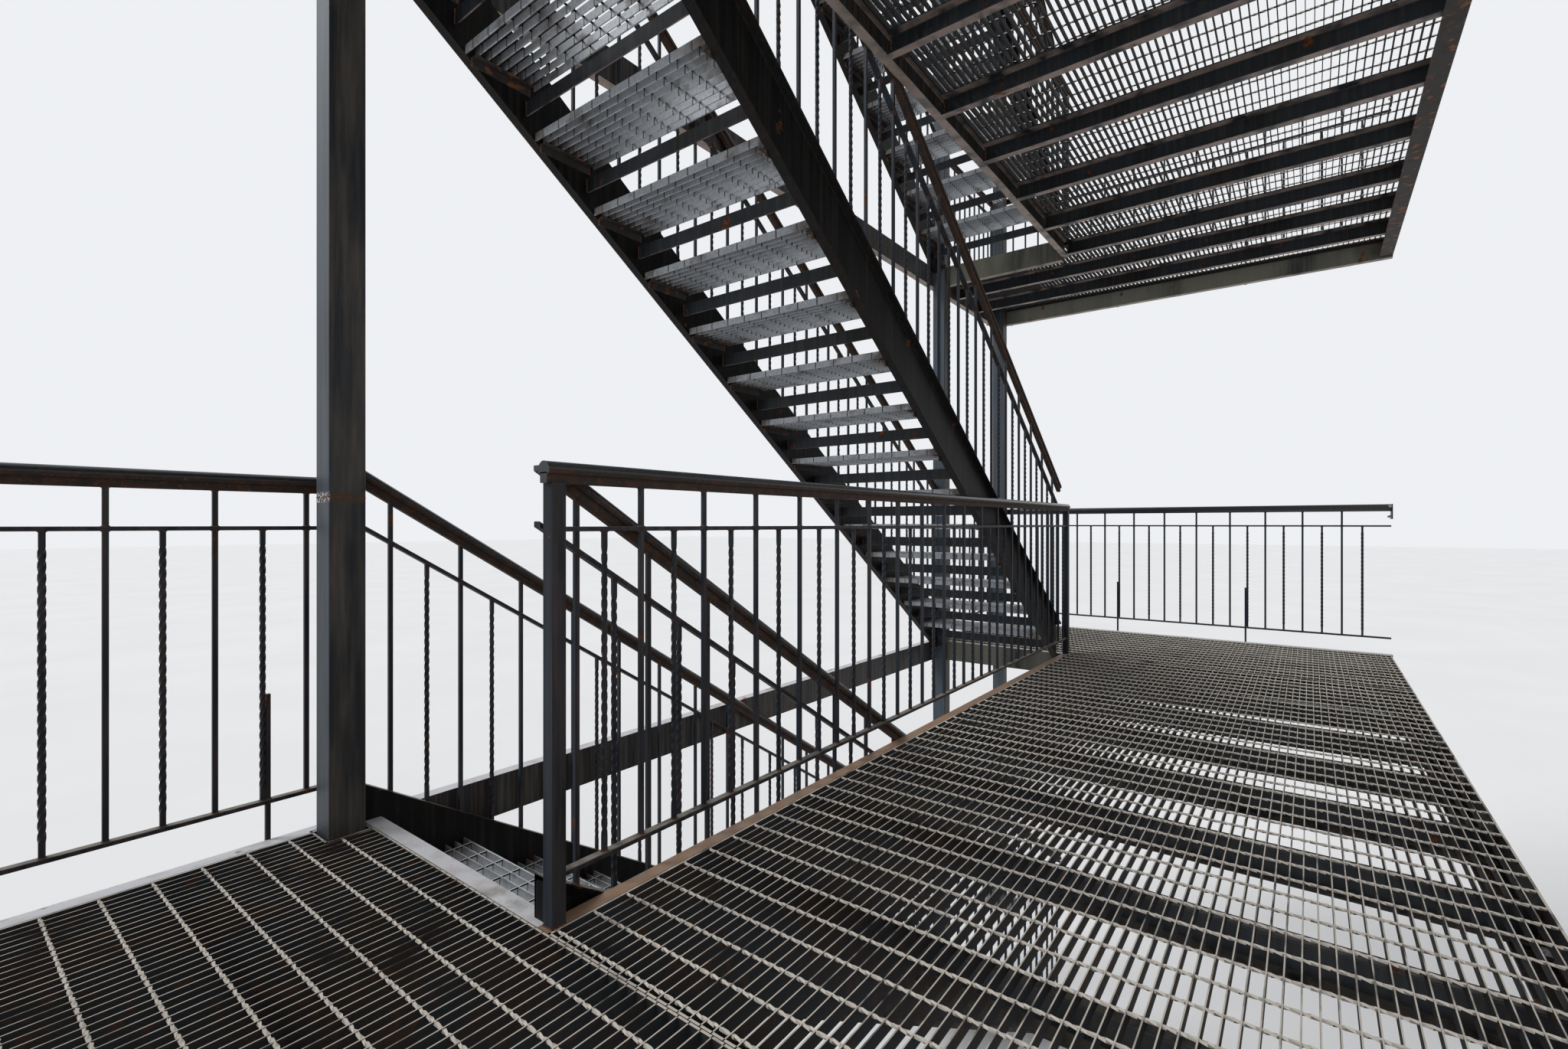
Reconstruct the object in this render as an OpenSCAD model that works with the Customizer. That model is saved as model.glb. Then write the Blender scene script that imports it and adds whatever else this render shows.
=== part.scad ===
// Steel fire escape stair: three platforms on four outer posts, tied back to a wall,
// with three straight flights stacked in one stairwell.
// Frame: origin on the ground under the post at the head of the stair, +Z up,
// +Y towards the wall, and the flights climb towards +X.

/* [Storeys] */
// Height of the first platform over the ground
ground_storey = 2720; // [2400:20:3000]
// Height from one platform to the next
upper_storey = 3048; // [2800:4:3300]

/* [Stair] */
// Number of risers in each flight
risers = 16; // [14:1:18]
// Going of one step
run = 280; // [250:5:310]
// Clear width between the stringers
stair_w = 914; // [760:2:1060]
// Depth of a tread from nosing to back edge
tread_d = 280; // [250:5:300]
// Thickness of the bar grating in treads and floors
grating_t = 30; // [25:1:40]
// Depth of the stringer channel, square to its slope
stringer_d = 254; // [203:1:305]
// Width of the stringer flanges
stringer_flange = 40; // [35:1:44]
// Height of the stringer's top edge over the nosing line
stringer_rise = 88; // [60:2:110]
// Height of the flat bar that half closes each riser
riser_bar_h = 57; // [40:1:70]

/* [Platform] */
// Distance from the first nosing of a flight back to the edge of the landing
foot_reach = 80; // [60:1:100]
// Length of a landing from stair post to corner post
landing_bay = 1340; // [1100:10:1600]
// Distance from the post line to the wall face
wall_y = 2880; // [2500:10:3200]
// Bays between joists beside the stairwell
well_bays = 8; // [6:1:10]
// Bays between joists under a landing
landing_bays = 3; // [2:1:4]

/* [Posts] */
// Width of the square main posts
post_w = 102; // [90:1:127]
// Wall of the main posts
post_wall = 6.4; // [4:0.2:10]
// Outside corner radius of the main posts
post_round = 12; // [8:0.5:16]
// Side of the base plates
base_w = 254; // [220:2:300]
// Thickness of the base plates
base_t = 20; // [12:1:30]
// Distance between anchor holes of a base plate
base_hole_gap = 190; // [170:2:200]
// Radius of the anchor holes
anchor_r = 9; // [6:0.5:12]
// Gap from the stair head post to the landing edge
head_gap = 69; // [50:1:90]
// Gap from the stair foot post to the landing edge
foot_gap = 29; // [20:1:60]

/* [Beams] */
// Depth of the edge, end and header channels, whose tops are level with the floor
beam_d = 152; // [140:1:203]
// Flange width of the edge, end and header channels
beam_flange = 50; // [40:1:60]
// Depth of the joists
joist_d = 102; // [80:1:115]
// Depth of the beam along the stairwell
well_d = 127; // [102:1:150]
// Flange width of the joists
joist_flange = 40; // [32:1:48]
// Flange width of the beam along the stairwell
well_flange = 42; // [40:1:56]
// Web of all channels
web_t = 6; // [5:0.5:9]
// Flange thickness of all channels
lip_t = 8; // [6:0.5:11]
// Half the difference between flange thickness at web and toe
lip_taper = 2; // [1:0.5:3]
// Horizontal leg of the wall angle
ledger_leg = 76; // [60:1:100]

/* [Guards] */
// Height of the guards and stair rails
rail_h = 1100; // [1000:10:1200]
// Width of the moulded cap rail
cap_w = 45; // [38:1:60]
// Width of the flat middle and bottom rails
bar_w = 25; // [20:1:32]
// Thickness of the middle and bottom rails
bar_t = 12; // [10:1:16]
// Drop from the top of the cap rail to the middle rail, square to the rails
mid_drop = 155; // [120:5:220]
// Height of the bottom rail over the floor
bottom_gap = 109; // [60:1:130]
// Side of the square balusters
baluster_w = 12.7; // [10:0.1:16]
// Distance between balusters on the stairs and the ends of the platforms
baluster_pitch = 119; // [105:0.5:125]
// Distance between balusters along the stairwell
well_pitch = 120.6; // [110:0.2:124]
// First tall baluster along the stairwell from the small post at its foot
well_first = 199; // [190:1:210]
// Distance between balusters on the outer edge
edge_pitch = 113.5; // [104:0.5:120]
// First baluster from the end of an outer guard
edge_first = 110; // [100:1:130]
// Height of the guards' legs over the floor
leg_h = 438; // [200:2:500]
// Width of the small posts at the stairwell
newel_w = 36; // [32:1:44]

/* [Floor grating] */
// Distance between the load bars of the floor
load_bar_pitch = 120; // [110:5:160]
// Distance between the cross rods of the floor
rod_pitch = 305; // [280:5:350]
// Thickness of a load bar
load_bar_t = 5; // [4:0.5:8]

/* [Hidden] */

steel = "dimgray";
galvanised = "silver";
half_post = post_w / 2;
seam = 2;

// Stations along the wall, from the near end to the far end
head_x = -half_post - head_gap;
foot_x = head_x - (risers - 1) * run;
foot_edge = foot_x - foot_reach;
post_xs = [landing_bay, 0, foot_x - foot_gap - half_post,
           foot_x - foot_gap - half_post - landing_bay];
near_edge = post_xs[0] + half_post;
far_edge = post_xs[3] - half_post;
outer_foot_x = foot_x - foot_gap;

// Lines across the platform, from the outer edge to the wall
edge_y = -half_post;
outer_back = edge_y + seam + stringer_flange;
inner_back = outer_back + stair_w;
well_y = inner_back + stringer_flange + seam;
walk_y = well_y + well_flange;
guard_y = walk_y - newel_w / 2;
ledger_t = lip_t;
ledger_face = wall_y - ledger_t;
inner_rail_y = inner_back + stringer_flange / 2;
outer_rail_y = outer_back - stringer_flange / 2;

// Heights
function floor_z(level) = level == 0 ? 0 : ground_storey + (level - 1) * upper_storey;
function storey(flight) = floor_z(flight) - floor_z(flight - 1);
function riser(flight) = storey(flight) / risers;
function slope(flight) = riser(flight) / run;
post_over = 70;
post_top = floor_z(3) + rail_h + post_over;

// Cap rail: a dome on a narrower bar
dome_h = cap_w * 2 / 3;
stem_w = cap_w * 5 / 8;
stem_h = cap_w / 2;
cap_h = dome_h + stem_h;

// Treads
tread_bar_t = 5;
tread_bars = 4;
tread_rods = 2;
rod_t = 8;
carrier_leg = 32;
carrier_t = 4;
carrier_len = tread_d - 50;
riser_bar_t = 6;
riser_bar_back = 31;
riser_bar_z = 79;
head_cut = 30;
rail_stub = 50;

// Guards
end_legs = 8;
edge_legs = 10;
outer_first = 105.5;
inner_first = 125;
inner_over = 17;
end_first = baluster_pitch / 2;
guard_out = half_post + beam_flange + baluster_w / 2;
lug_w = 40;
wall_plate_h = 110;
wall_plate_t = 6;
band_t = 6;
post_notch = 8;
anchor_pairs = 3;
anchor_drop = 70;

// Channel section: the back stands on u = 0, the flanges reach towards +u, the top is at v = 0.
// The flanges are thicker at the web than at the toe, as rolled ones are.
module channel_section(depth, flange) {
    toe = lip_t - lip_taper;
    root = lip_t + lip_taper;
    polygon([[0, 0], [flange, 0], [flange, -toe], [web_t, -root],
             [web_t, root - depth], [flange, toe - depth], [flange, -depth], [0, -depth]]);
}

// Sweeps a flat section along +X: u turns to +Y and v to +Z.
module sweep_x(length) {
    rotate([90, 0, 90]) linear_extrude(length) children();
}

// Sweeps a flat section along +Y: u stays along +X and v turns to +Z.
module sweep_y(length) {
    translate([0, length, 0]) rotate([90, 0, 0]) linear_extrude(length) children();
}

// Gives a drawing in the X-Z plane a thickness from y0 to y1.
module plate_xz(y0, y1) {
    translate([0, y1, 0]) rotate([90, 0, 0]) linear_extrude(y1 - y0) children();
}

// A square with round corners, centred on the origin.
module round_square(side, radius) {
    inner = side / 2 - radius;
    square([side, 2 * inner], center = true);
    square([2 * inner, side], center = true);
    for (sx = [-1, 1], sy = [-1, 1]) translate([sx * inner, sy * inner]) circle(r = radius, $fn = 32);
}

// Hollow square tube from the base plate up, closed by a cap plate.
module main_post(i) {
    tube_h = post_top - base_t;
    color(steel) translate([post_xs[i], 0, base_t]) difference() {
        linear_extrude(tube_h) round_square(post_w, post_round);
        translate([0, 0, -1]) linear_extrude(tube_h - post_wall + 1)
            round_square(post_w - 2 * post_wall, post_round - post_wall);
    }
}

module base_plate() {
    difference() {
        translate([-base_w / 2, -base_w / 2, 0]) cube([base_w, base_w, base_t]);
        for (sx = [-1, 1], sy = [-1, 1])
            translate([sx * base_hole_gap / 2, sy * base_hole_gap / 2, -1])
                cylinder(r = anchor_r, h = base_t + 2, $fn = 32);
    }
}

module base_plates() {
    color(steel) for (x = post_xs) translate([x, 0, 0]) base_plate();
}

// Wall angle: one leg on the wall with the anchor holes, one leg under the joists.
module wall_ledger() {
    length = near_edge - far_edge;
    middle = (near_edge + far_edge) / 2;
    reach = length / (2 * anchor_pairs);
    difference() {
        translate([far_edge, 0, 0]) union() {
            translate([0, ledger_face, -joist_d - ledger_t]) cube([length, ledger_t, joist_d + ledger_t]);
            translate([0, wall_y - ledger_leg, -joist_d - ledger_t]) cube([length, ledger_leg, ledger_t]);
        }
        for (k = [1 : anchor_pairs], s = [-1, 1])
            translate([middle + s * (k - 0.5) * reach, ledger_face - 1, -anchor_drop])
                rotate([-90, 0, 0]) cylinder(r = anchor_r, h = ledger_t + 2, $fn = 32);
    }
}

// The three long members of a platform: the edge beam on the posts' outer faces and
// the beam along the stairwell, level with the floor, and the wall angle.
module long_beams(level) {
    color(steel) translate([0, 0, floor_z(level)]) {
        translate([far_edge - beam_flange, edge_y, 0]) mirror([0, 1, 0])
            sweep_x(near_edge - far_edge + 2 * beam_flange) channel_section(beam_d, beam_flange);
        translate([foot_edge - beam_flange, well_y, 0])
            sweep_x(head_x - foot_edge + 2 * beam_flange) channel_section(well_d, well_flange);
        translate([0, 0, -grating_t]) wall_ledger();
    }
}

// Two end beams on the corner posts and two headers that close the stairwell.
module cross_beams(level) {
    color(steel) translate([0, 0, floor_z(level)]) {
        translate([near_edge, edge_y, 0]) sweep_y(wall_y - edge_y) channel_section(beam_d, beam_flange);
        translate([far_edge, edge_y, 0]) mirror([1, 0, 0])
            sweep_y(wall_y - edge_y) channel_section(beam_d, beam_flange);
        translate([head_x, edge_y, 0]) sweep_y(well_y - edge_y) channel_section(beam_d, beam_flange);
        translate([foot_edge, half_post, 0]) mirror([1, 0, 0])
            sweep_y(well_y - half_post) channel_section(beam_d, beam_flange);
    }
}

module joist(x, y0) {
    translate([x, y0, 0]) sweep_y(ledger_face - y0) channel_section(joist_d, joist_flange);
}

module joists(level) {
    well_step = (head_x - foot_edge) / well_bays;
    near_step = (near_edge - head_x) / landing_bays;
    far_step = (foot_edge - far_edge) / landing_bays;
    color(steel) translate([0, 0, floor_z(level) - grating_t]) {
        for (k = [0 : well_bays]) joist(foot_edge + k * well_step, walk_y);
        for (k = [1 : landing_bays - 1]) {
            joist(head_x + k * near_step, edge_y);
            joist(far_edge + k * far_step, edge_y);
        }
    }
}

// A flat floor lattice with a banding bar all round, its top at z = 0.
module grating_panel(x0, x1, y0, y1) {
    bars = ceil((y1 - y0) / load_bar_pitch);
    rods = ceil((x1 - x0) / rod_pitch);
    bar_step = (y1 - y0 - band_t) / bars;
    rod_step = (x1 - x0 - band_t) / rods;
    translate([x0, y0, -grating_t]) {
        for (k = [0 : bars]) translate([0, k * bar_step, 0])
            cube([x1 - x0, k == 0 || k == bars ? band_t : load_bar_t, grating_t]);
        for (k = [0 : rods]) translate([k * rod_step, 0, k == 0 || k == rods ? 0 : grating_t - rod_t])
            cube([band_t, y1 - y0, k == 0 || k == rods ? grating_t : rod_t]);
    }
}

module post_cut(i) {
    side = post_w + 2 * post_notch;
    translate([post_xs[i] - side / 2, -side / 2, -grating_t - 1]) cube([side, side, grating_t + 2]);
}

module near_grating(level) {
    color(steel) translate([0, 0, floor_z(level)]) difference() {
        grating_panel(head_x + beam_flange + seam, near_edge - seam, edge_y + seam, ledger_face - seam);
        post_cut(0);
        post_cut(1);
    }
}

module walk_grating(level) {
    color(steel) translate([0, 0, floor_z(level)])
        grating_panel(foot_edge - beam_flange, head_x + beam_flange, walk_y + seam, ledger_face - seam);
}

module far_grating(level) {
    color(steel) translate([0, 0, floor_z(level)]) difference() {
        grating_panel(far_edge + seam, foot_edge - beam_flange - seam, edge_y + seam, ledger_face - seam);
        post_cut(2);
        post_cut(3);
    }
}

// Section of the cap rail with its top at v = 0.
module cap_section() {
    intersection() {
        translate([0, -cap_w / 2]) circle(d = cap_w, $fn = 48);
        translate([-cap_w / 2, -dome_h]) square([cap_w, dome_h]);
    }
    translate([-stem_w / 2, -cap_h]) square([stem_w, stem_h + 1]);
}

// Rounded end of a cap rail.
module cap_end() {
    rotate_extrude($fn = 48) intersection() {
        cap_section();
        translate([0, -cap_h]) square([cap_w, cap_h]);
    }
}

// Level guard along +X from its start, with its floor at z = 0: the cap rail and two flat rails,
// and balusters from the first station on, tall ones up to the cap and short ones in turn.
// Some short ones may have a leg at their side, that runs down along the toes of a beam.
module guard_panel(length, first, pitch, leg_every = 0) {
    last = floor((length - first - pitch / 2) / pitch);
    translate([0, 0, rail_h]) sweep_x(length) cap_section();
    translate([0, -bar_w / 2, rail_h - mid_drop - bar_t]) cube([length, bar_w, bar_t]);
    translate([0, -bar_w / 2, bottom_gap]) cube([length, bar_w, bar_t]);
    for (k = [0 : last]) translate([first + k * pitch - baluster_w / 2, -baluster_w / 2, 0]) {
        high = k % 2 == 0 ? rail_h - cap_h + 1 : rail_h - mid_drop - 1;
        translate([0, 0, bottom_gap]) cube([baluster_w, baluster_w, high - bottom_gap]);
        if (leg_every > 0 && k % leg_every == 1) translate([-baluster_w, 0, -beam_d])
            cube([baluster_w, baluster_w, leg_h + beam_d]);
    }
}

module newel(side) {
    translate([-side / 2, -side / 2, 0]) cube([side, side, rail_h - cap_h + 1]);
}

// Guard on the outer edge of a landing, from its stair post round the corner post. It passes
// outside the posts: its legs run down the toes of the edge beam, and lugs tie it to the stair post.
module outer_guard() {
    length = half_post + landing_bay + guard_out + cap_w / 2;
    guard_panel(length, edge_first, edge_pitch, edge_legs);
    translate([length - cap_w / 2, 0, 0]) newel(cap_w);
    for (z = [bottom_gap, rail_h - mid_drop - bar_t])
        translate([half_post - lug_w / 2, 0, z]) cube([lug_w, guard_out - half_post, bar_t]);
}

module outer_guards(level) {
    color(steel) translate([0, -guard_out, floor_z(level)]) {
        translate([-half_post, 0, 0]) outer_guard();
        translate([post_xs[2] + half_post, 0, 0]) mirror([1, 0, 0]) outer_guard();
    }
}

// Guard from the corner of the outer guard to the wall, with a plate on the wall.
module end_guard() {
    start = cap_w / 2 - guard_out;
    span = wall_y - start - wall_plate_t;
    translate([0, start, 0]) rotate([0, 0, 90]) {
        guard_panel(span, end_first, baluster_pitch, end_legs);
        translate([span, -wall_plate_h / 2, rail_h - wall_plate_h])
            cube([wall_plate_t, wall_plate_h, wall_plate_h]);
    }
}

module end_guards(level) {
    color(steel) translate([0, 0, floor_z(level)]) {
        translate([post_xs[0] + guard_out, 0, 0]) end_guard();
        translate([post_xs[3] - guard_out, 0, 0]) end_guard();
    }
}

// Guard along the stairwell, between two small posts that stand on the well beam.
module well_guard(level) {
    start = foot_edge - beam_flange / 2;
    span = head_x + newel_w / 2 - start;
    color(steel) translate([start, guard_y, floor_z(level)]) {
        guard_panel(span, well_first, well_pitch);
        translate([well_first - well_pitch - baluster_w / 2, -baluster_w / 2, bottom_gap])
            cube([baluster_w, baluster_w, rail_h - mid_drop - bottom_gap - 1]);
        for (x = [0, span]) translate([x, 0, 0]) {
            newel(newel_w);
            translate([0, 0, rail_h]) cap_end();
        }
    }
}

// The top platform has no flight that goes on, so a guard closes the foot side of its stairwell.
module foot_guard(level) {
    span = guard_y - cap_w / 2 - half_post - seam;
    color(steel) translate([foot_edge - beam_flange / 2, half_post, floor_z(level)])
        rotate([0, 0, 90]) guard_panel(span, baluster_pitch, baluster_pitch);
}

// A band that follows the pitch of a flight, between two heights over the nosing line.
// Its drawing has x along the wall and y up, from x0 to x1.
module pitch_band(flight, low, high, x0, x1) {
    z0 = floor_z(flight) + (x0 - head_x) * slope(flight);
    z1 = floor_z(flight) + (x1 - head_x) * slope(flight);
    polygon([[x0, z0 + low], [x1, z1 + low], [x1, z1 + high], [x0, z0 + high]]);
}

// The part of the drawing that a stringer may fill: over the ground, and down between the headers.
module stringer_room(flight, foot, top_x) {
    lower = flight == 1 ? 0 : floor_z(flight - 1) - beam_d;
    upper = floor_z(flight);
    translate([foot, lower]) square([top_x - foot, upper - lower + stringer_d * 2]);
}

module below_head(flight, top_x) {
    depth = stringer_d * 2;
    translate([head_x, floor_z(flight) - depth]) square([top_x - head_x + 1, depth]);
}

module stringer(flight, back, side, foot, top_x) {
    pitch = sqrt(1 + slope(flight) * slope(flight));
    high = stringer_rise;
    low = stringer_rise - stringer_d * pitch;
    lip = lip_t * pitch;
    y_web = [back, back + side * web_t];
    y_toe = [back, back + side * stringer_flange];
    plate_xz(min(y_web), max(y_web)) difference() {
        intersection() {
            pitch_band(flight, low, high, foot, top_x);
            stringer_room(flight, foot, top_x);
        }
        below_head(flight, top_x);
    }
    plate_xz(min(y_toe), max(y_toe)) difference() {
        intersection() {
            union() {
                pitch_band(flight, low, low + lip, foot, top_x);
                pitch_band(flight, high - lip, high, foot, top_x);
            }
            stringer_room(flight, foot, top_x);
        }
        below_head(flight, top_x);
    }
}

// Nosing position and top of step k, counted from the lower floor.
function step_x(k) = foot_x + (k - 1) * run;
function step_z(flight, k) = floor_z(flight - 1) + k * riser(flight);

// Short angles on the stringer's back that carry the ends of the treads.
module carriers(flight, back, side) {
    for (k = [1 : risers - 1]) {
        y0 = side > 0 ? back - carrier_leg : back;
        y1 = side > 0 ? back - carrier_t : back;
        translate([step_x(k) + (tread_d - carrier_len) / 2, 0, step_z(flight, k) - grating_t]) {
            translate([0, y0, -carrier_t]) cube([carrier_len, carrier_leg, carrier_t]);
            translate([0, y1, -carrier_leg]) cube([carrier_len, carrier_t, carrier_leg]);
        }
    }
}

module stringers(flight) {
    color(steel) {
        stringer(flight, outer_back, -1, outer_foot_x, -half_post);
        carriers(flight, outer_back, -1);
        stringer(flight, inner_back, 1, foot_edge, head_x + head_cut);
        carriers(flight, inner_back, 1);
    }
}

// One bar grating tread, with its nosing on x = 0 and its top at z = 0.
module tread() {
    width = stair_w - seam;
    bar_step = (tread_d - band_t) / (tread_bars + 1);
    rod_step = width / (tread_rods + 1);
    translate([0, outer_back + seam / 2, -grating_t]) {
        for (k = [0 : tread_bars + 1]) translate([k * bar_step, 0, 0])
            cube([k == 0 || k > tread_bars ? band_t : tread_bar_t, width, grating_t]);
        for (k = [1 : tread_rods]) translate([0, k * rod_step, grating_t - rod_t])
            cube([tread_d, rod_t, rod_t]);
    }
}

module treads(flight) {
    color(galvanised) for (k = [1 : risers - 1])
        translate([step_x(k), 0, step_z(flight, k)]) tread();
}

// A flat bar between the stringers in the gap of each riser.
module riser_bars(flight) {
    color(steel) for (k = [0 : risers - 2])
        translate([step_x(k + 1) + riser_bar_back, outer_back,
                   step_z(flight, k) + riser_bar_z - riser_bar_h / 2])
            cube([riser_bar_t, stair_w, riser_bar_h]);
}

// Sloping rail over a stringer, from x0 to x1 in the plane y, with its top at a height over the
// nosings and its first baluster from the head.
module pitch_rail(flight, y, x0, x1, height, first) {
    last = floor((x1 - x0 - first - baluster_w) / baluster_pitch);
    tilt = sqrt(1 + slope(flight) * slope(flight));
    mid_top = height - mid_drop * tilt;
    mid_low = mid_top - bar_t * tilt;
    cap_low = height - cap_h * tilt;
    translate([0, y, 0]) {
        plate_xz(-stem_w / 2, stem_w / 2)
            pitch_band(flight, cap_low, height - dome_h * tilt, x0, x1);
        plate_xz(-cap_w / 2, cap_w / 2) pitch_band(flight, height - dome_h * tilt, height, x0, x1);
        plate_xz(-bar_w / 2, bar_w / 2) pitch_band(flight, mid_low, mid_top, x0, x1);
        plate_xz(-baluster_w / 2, baluster_w / 2) for (k = [0 : last]) {
            x = x1 - first - k * baluster_pitch;
            pitch_band(flight, stringer_rise, k % 2 == 0 ? cap_low + 1 : mid_top - 1,
                       x - baluster_w / 2, x + baluster_w / 2);
        }
    }
}

module rails(flight) {
    color(steel) {
        pitch_rail(flight, outer_rail_y, outer_foot_x, -half_post, rail_h, outer_first);
        pitch_rail(flight, inner_rail_y, foot_edge, head_x + rail_stub, rail_h + inner_over, inner_first);
    }
}

main_post(0);  // near_end_post
main_post(1);  // stair_head_post
main_post(2);  // stair_foot_post
main_post(3);  // far_end_post
base_plates();
long_beams(1);  // level_1_long_beams
cross_beams(1);  // level_1_cross_beams
joists(1);  // level_1_joists
near_grating(1);  // level_1_near_grating
walk_grating(1);  // level_1_walk_grating
far_grating(1);  // level_1_far_grating
outer_guards(1);  // level_1_outer_guards
end_guards(1);  // level_1_end_guards
well_guard(1);  // level_1_well_guard
long_beams(2);  // level_2_long_beams
cross_beams(2);  // level_2_cross_beams
joists(2);  // level_2_joists
near_grating(2);  // level_2_near_grating
walk_grating(2);  // level_2_walk_grating
far_grating(2);  // level_2_far_grating
outer_guards(2);  // level_2_outer_guards
end_guards(2);  // level_2_end_guards
well_guard(2);  // level_2_well_guard
long_beams(3);  // level_3_long_beams
cross_beams(3);  // level_3_cross_beams
joists(3);  // level_3_joists
near_grating(3);  // level_3_near_grating
walk_grating(3);  // level_3_walk_grating
far_grating(3);  // level_3_far_grating
outer_guards(3);  // level_3_outer_guards
end_guards(3);  // level_3_end_guards
well_guard(3);  // level_3_well_guard
foot_guard(3);  // level_3_foot_guard
stringers(1);  // flight_1_stringers
treads(1);  // flight_1_treads
riser_bars(1);  // flight_1_riser_bars
rails(1);  // flight_1_rails
stringers(2);  // flight_2_stringers
treads(2);  // flight_2_treads
riser_bars(2);  // flight_2_riser_bars
rails(2);  // flight_2_rails
stringers(3);  // flight_3_stringers
treads(3);  // flight_3_treads
riser_bars(3);  // flight_3_riser_bars
rails(3);  // flight_3_rails
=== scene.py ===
"""Fire escape stair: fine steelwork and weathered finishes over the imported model.

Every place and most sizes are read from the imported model, so each piece lies where
the construction puts it. Each operator makes one kind of steelwork: rolled channels,
floor and tread lattices, guards with twisted balusters, welds and anchors. The last
one makes the floor, the light and the camera.
"""

import math

import bmesh
import bpy
from mathutils import Matrix, Vector


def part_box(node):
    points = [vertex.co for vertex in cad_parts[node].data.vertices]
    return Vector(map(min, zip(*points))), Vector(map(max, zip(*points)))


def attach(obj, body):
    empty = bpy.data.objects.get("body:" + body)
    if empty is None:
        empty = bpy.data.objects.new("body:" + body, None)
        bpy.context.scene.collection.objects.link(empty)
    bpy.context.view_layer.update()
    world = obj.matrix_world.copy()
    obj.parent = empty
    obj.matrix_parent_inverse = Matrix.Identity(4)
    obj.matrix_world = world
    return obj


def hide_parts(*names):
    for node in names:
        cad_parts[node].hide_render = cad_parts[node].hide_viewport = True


bl_info = {
    "name": "Fire escape stair",
    "version": (1, 0, 0),
    "blender": (4, 5, 0),
    "location": "View3D > Sidebar > Fire escape",
    "description": "Makes the fine steelwork and the finishes of a fire escape stair",
    "category": "Object",
}

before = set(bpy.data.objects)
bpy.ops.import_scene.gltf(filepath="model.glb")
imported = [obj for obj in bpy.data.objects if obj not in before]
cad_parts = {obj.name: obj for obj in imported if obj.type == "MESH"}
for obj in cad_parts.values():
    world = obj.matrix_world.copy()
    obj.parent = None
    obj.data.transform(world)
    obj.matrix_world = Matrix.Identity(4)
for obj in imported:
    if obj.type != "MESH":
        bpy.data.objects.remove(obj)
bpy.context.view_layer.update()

# What repeats
LEVELS = (1, 2, 3)
FLIGHTS = (1, 2, 3)
RISERS = 16
WELL_BAYS = 8
LANDING_BAYS = 3
END_LEGS = 8
EDGE_LEGS = 10
ANCHOR_PAIRS = 3
POSTS = ("near_end_post", "stair_head_post", "stair_foot_post", "far_end_post")
# Gap between a grating and the beam beside it, in metres
SEAM = 0.002
# Edges with a greater angle than this stay sharp
SHARP_EDGE = math.radians(35)


def middle(node, axis):
    """Middle of a node's box along one axis."""
    low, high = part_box(node)
    return (low[axis] + high[axis]) / 2


def extent(node, axis):
    """Size of a node's box along one axis."""
    low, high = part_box(node)
    return high[axis] - low[axis]


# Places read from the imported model, in metres
POST_X = [middle(post, 0) for post in POSTS]
POST_W = extent(POSTS[0], 0)
HALF_POST = POST_W / 2
POST_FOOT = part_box(POSTS[0])[0].z
FLOOR_Z = [0.0] + [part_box(f"level_{level}_walk_grating")[1].z for level in LEVELS]
GRATING_DEPTH = extent("level_1_walk_grating", 2)
FOOT_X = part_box("flight_1_treads")[0].x
HEAD_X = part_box("flight_1_treads")[1].x
RUN = (HEAD_X - FOOT_X) / (RISERS - 1)
OUTER_BACK, INNER_BACK = (corner.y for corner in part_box("flight_1_riser_bars"))
STAIR_LOW, STAIR_HIGH = (corner.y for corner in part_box("flight_1_stringers"))
BACK_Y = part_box("level_1_long_beams")[1].y
EDGE_Y = -HALF_POST
NEAR_EDGE = POST_X[0] + HALF_POST
FAR_EDGE = POST_X[3] - HALF_POST
FOOT_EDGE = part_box("flight_2_stringers")[0].x
WELL_Y = STAIR_HIGH + SEAM
WALK_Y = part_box("level_1_walk_grating")[0].y - SEAM
GUARD_Y = middle("level_1_well_guard", 1)
CAP_WIDTH = round(extent("level_1_well_guard", 1), 3)
CAP_DEPTH = CAP_WIDTH * 7 / 6
GUARD_OUT = -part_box("level_1_outer_guards")[0].y - CAP_WIDTH / 2
RAIL_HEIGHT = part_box("level_1_well_guard")[1].z - FLOOR_Z[1]
OUTER_RAIL_Y = (OUTER_BACK + STAIR_LOW) / 2
INNER_RAIL_Y = (INNER_BACK + STAIR_HIGH) / 2
OUTER_FOOT_X = POST_X[2] + HALF_POST

# Cuts of the inner rail and of the inner stringer's tongue, past the head of a flight
INNER_RAIL_HEAD_X = -0.084
INNER_STRINGER_HEAD_X = -0.090


def riser(flight):
    """Height of one step of a flight."""
    return (FLOOR_Z[flight] - FLOOR_Z[flight - 1]) / RISERS


def slope(flight):
    """Rise of a flight for each metre along it."""
    return riser(flight) / RUN


def nosing_z(flight, x):
    """Height of the line through the nosings of a flight."""
    return FLOOR_Z[flight] + (x - HEAD_X) * slope(flight)


def linear(code):
    """An sRGB hex colour as linear red, green, blue and alpha."""
    shares = [int(code[i:i + 2], 16) / 255 for i in (1, 3, 5)]
    return [s / 12.92 if s <= 0.04045 else ((s + 0.055) / 1.055) ** 2.4 for s in shares] + [1.0]


def length_of(name, description, default):
    """A length in metres that a user may change."""
    return bpy.props.FloatProperty(
        name=name, description=description, default=default, min=0.0, unit="LENGTH", precision=4)


def colour_of(name, description, code):
    """A colour that a user may change."""
    return bpy.props.FloatVectorProperty(
        name=name, description=description, default=linear(code), size=4, min=0.0, max=1.0,
        subtype="COLOR")


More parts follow.
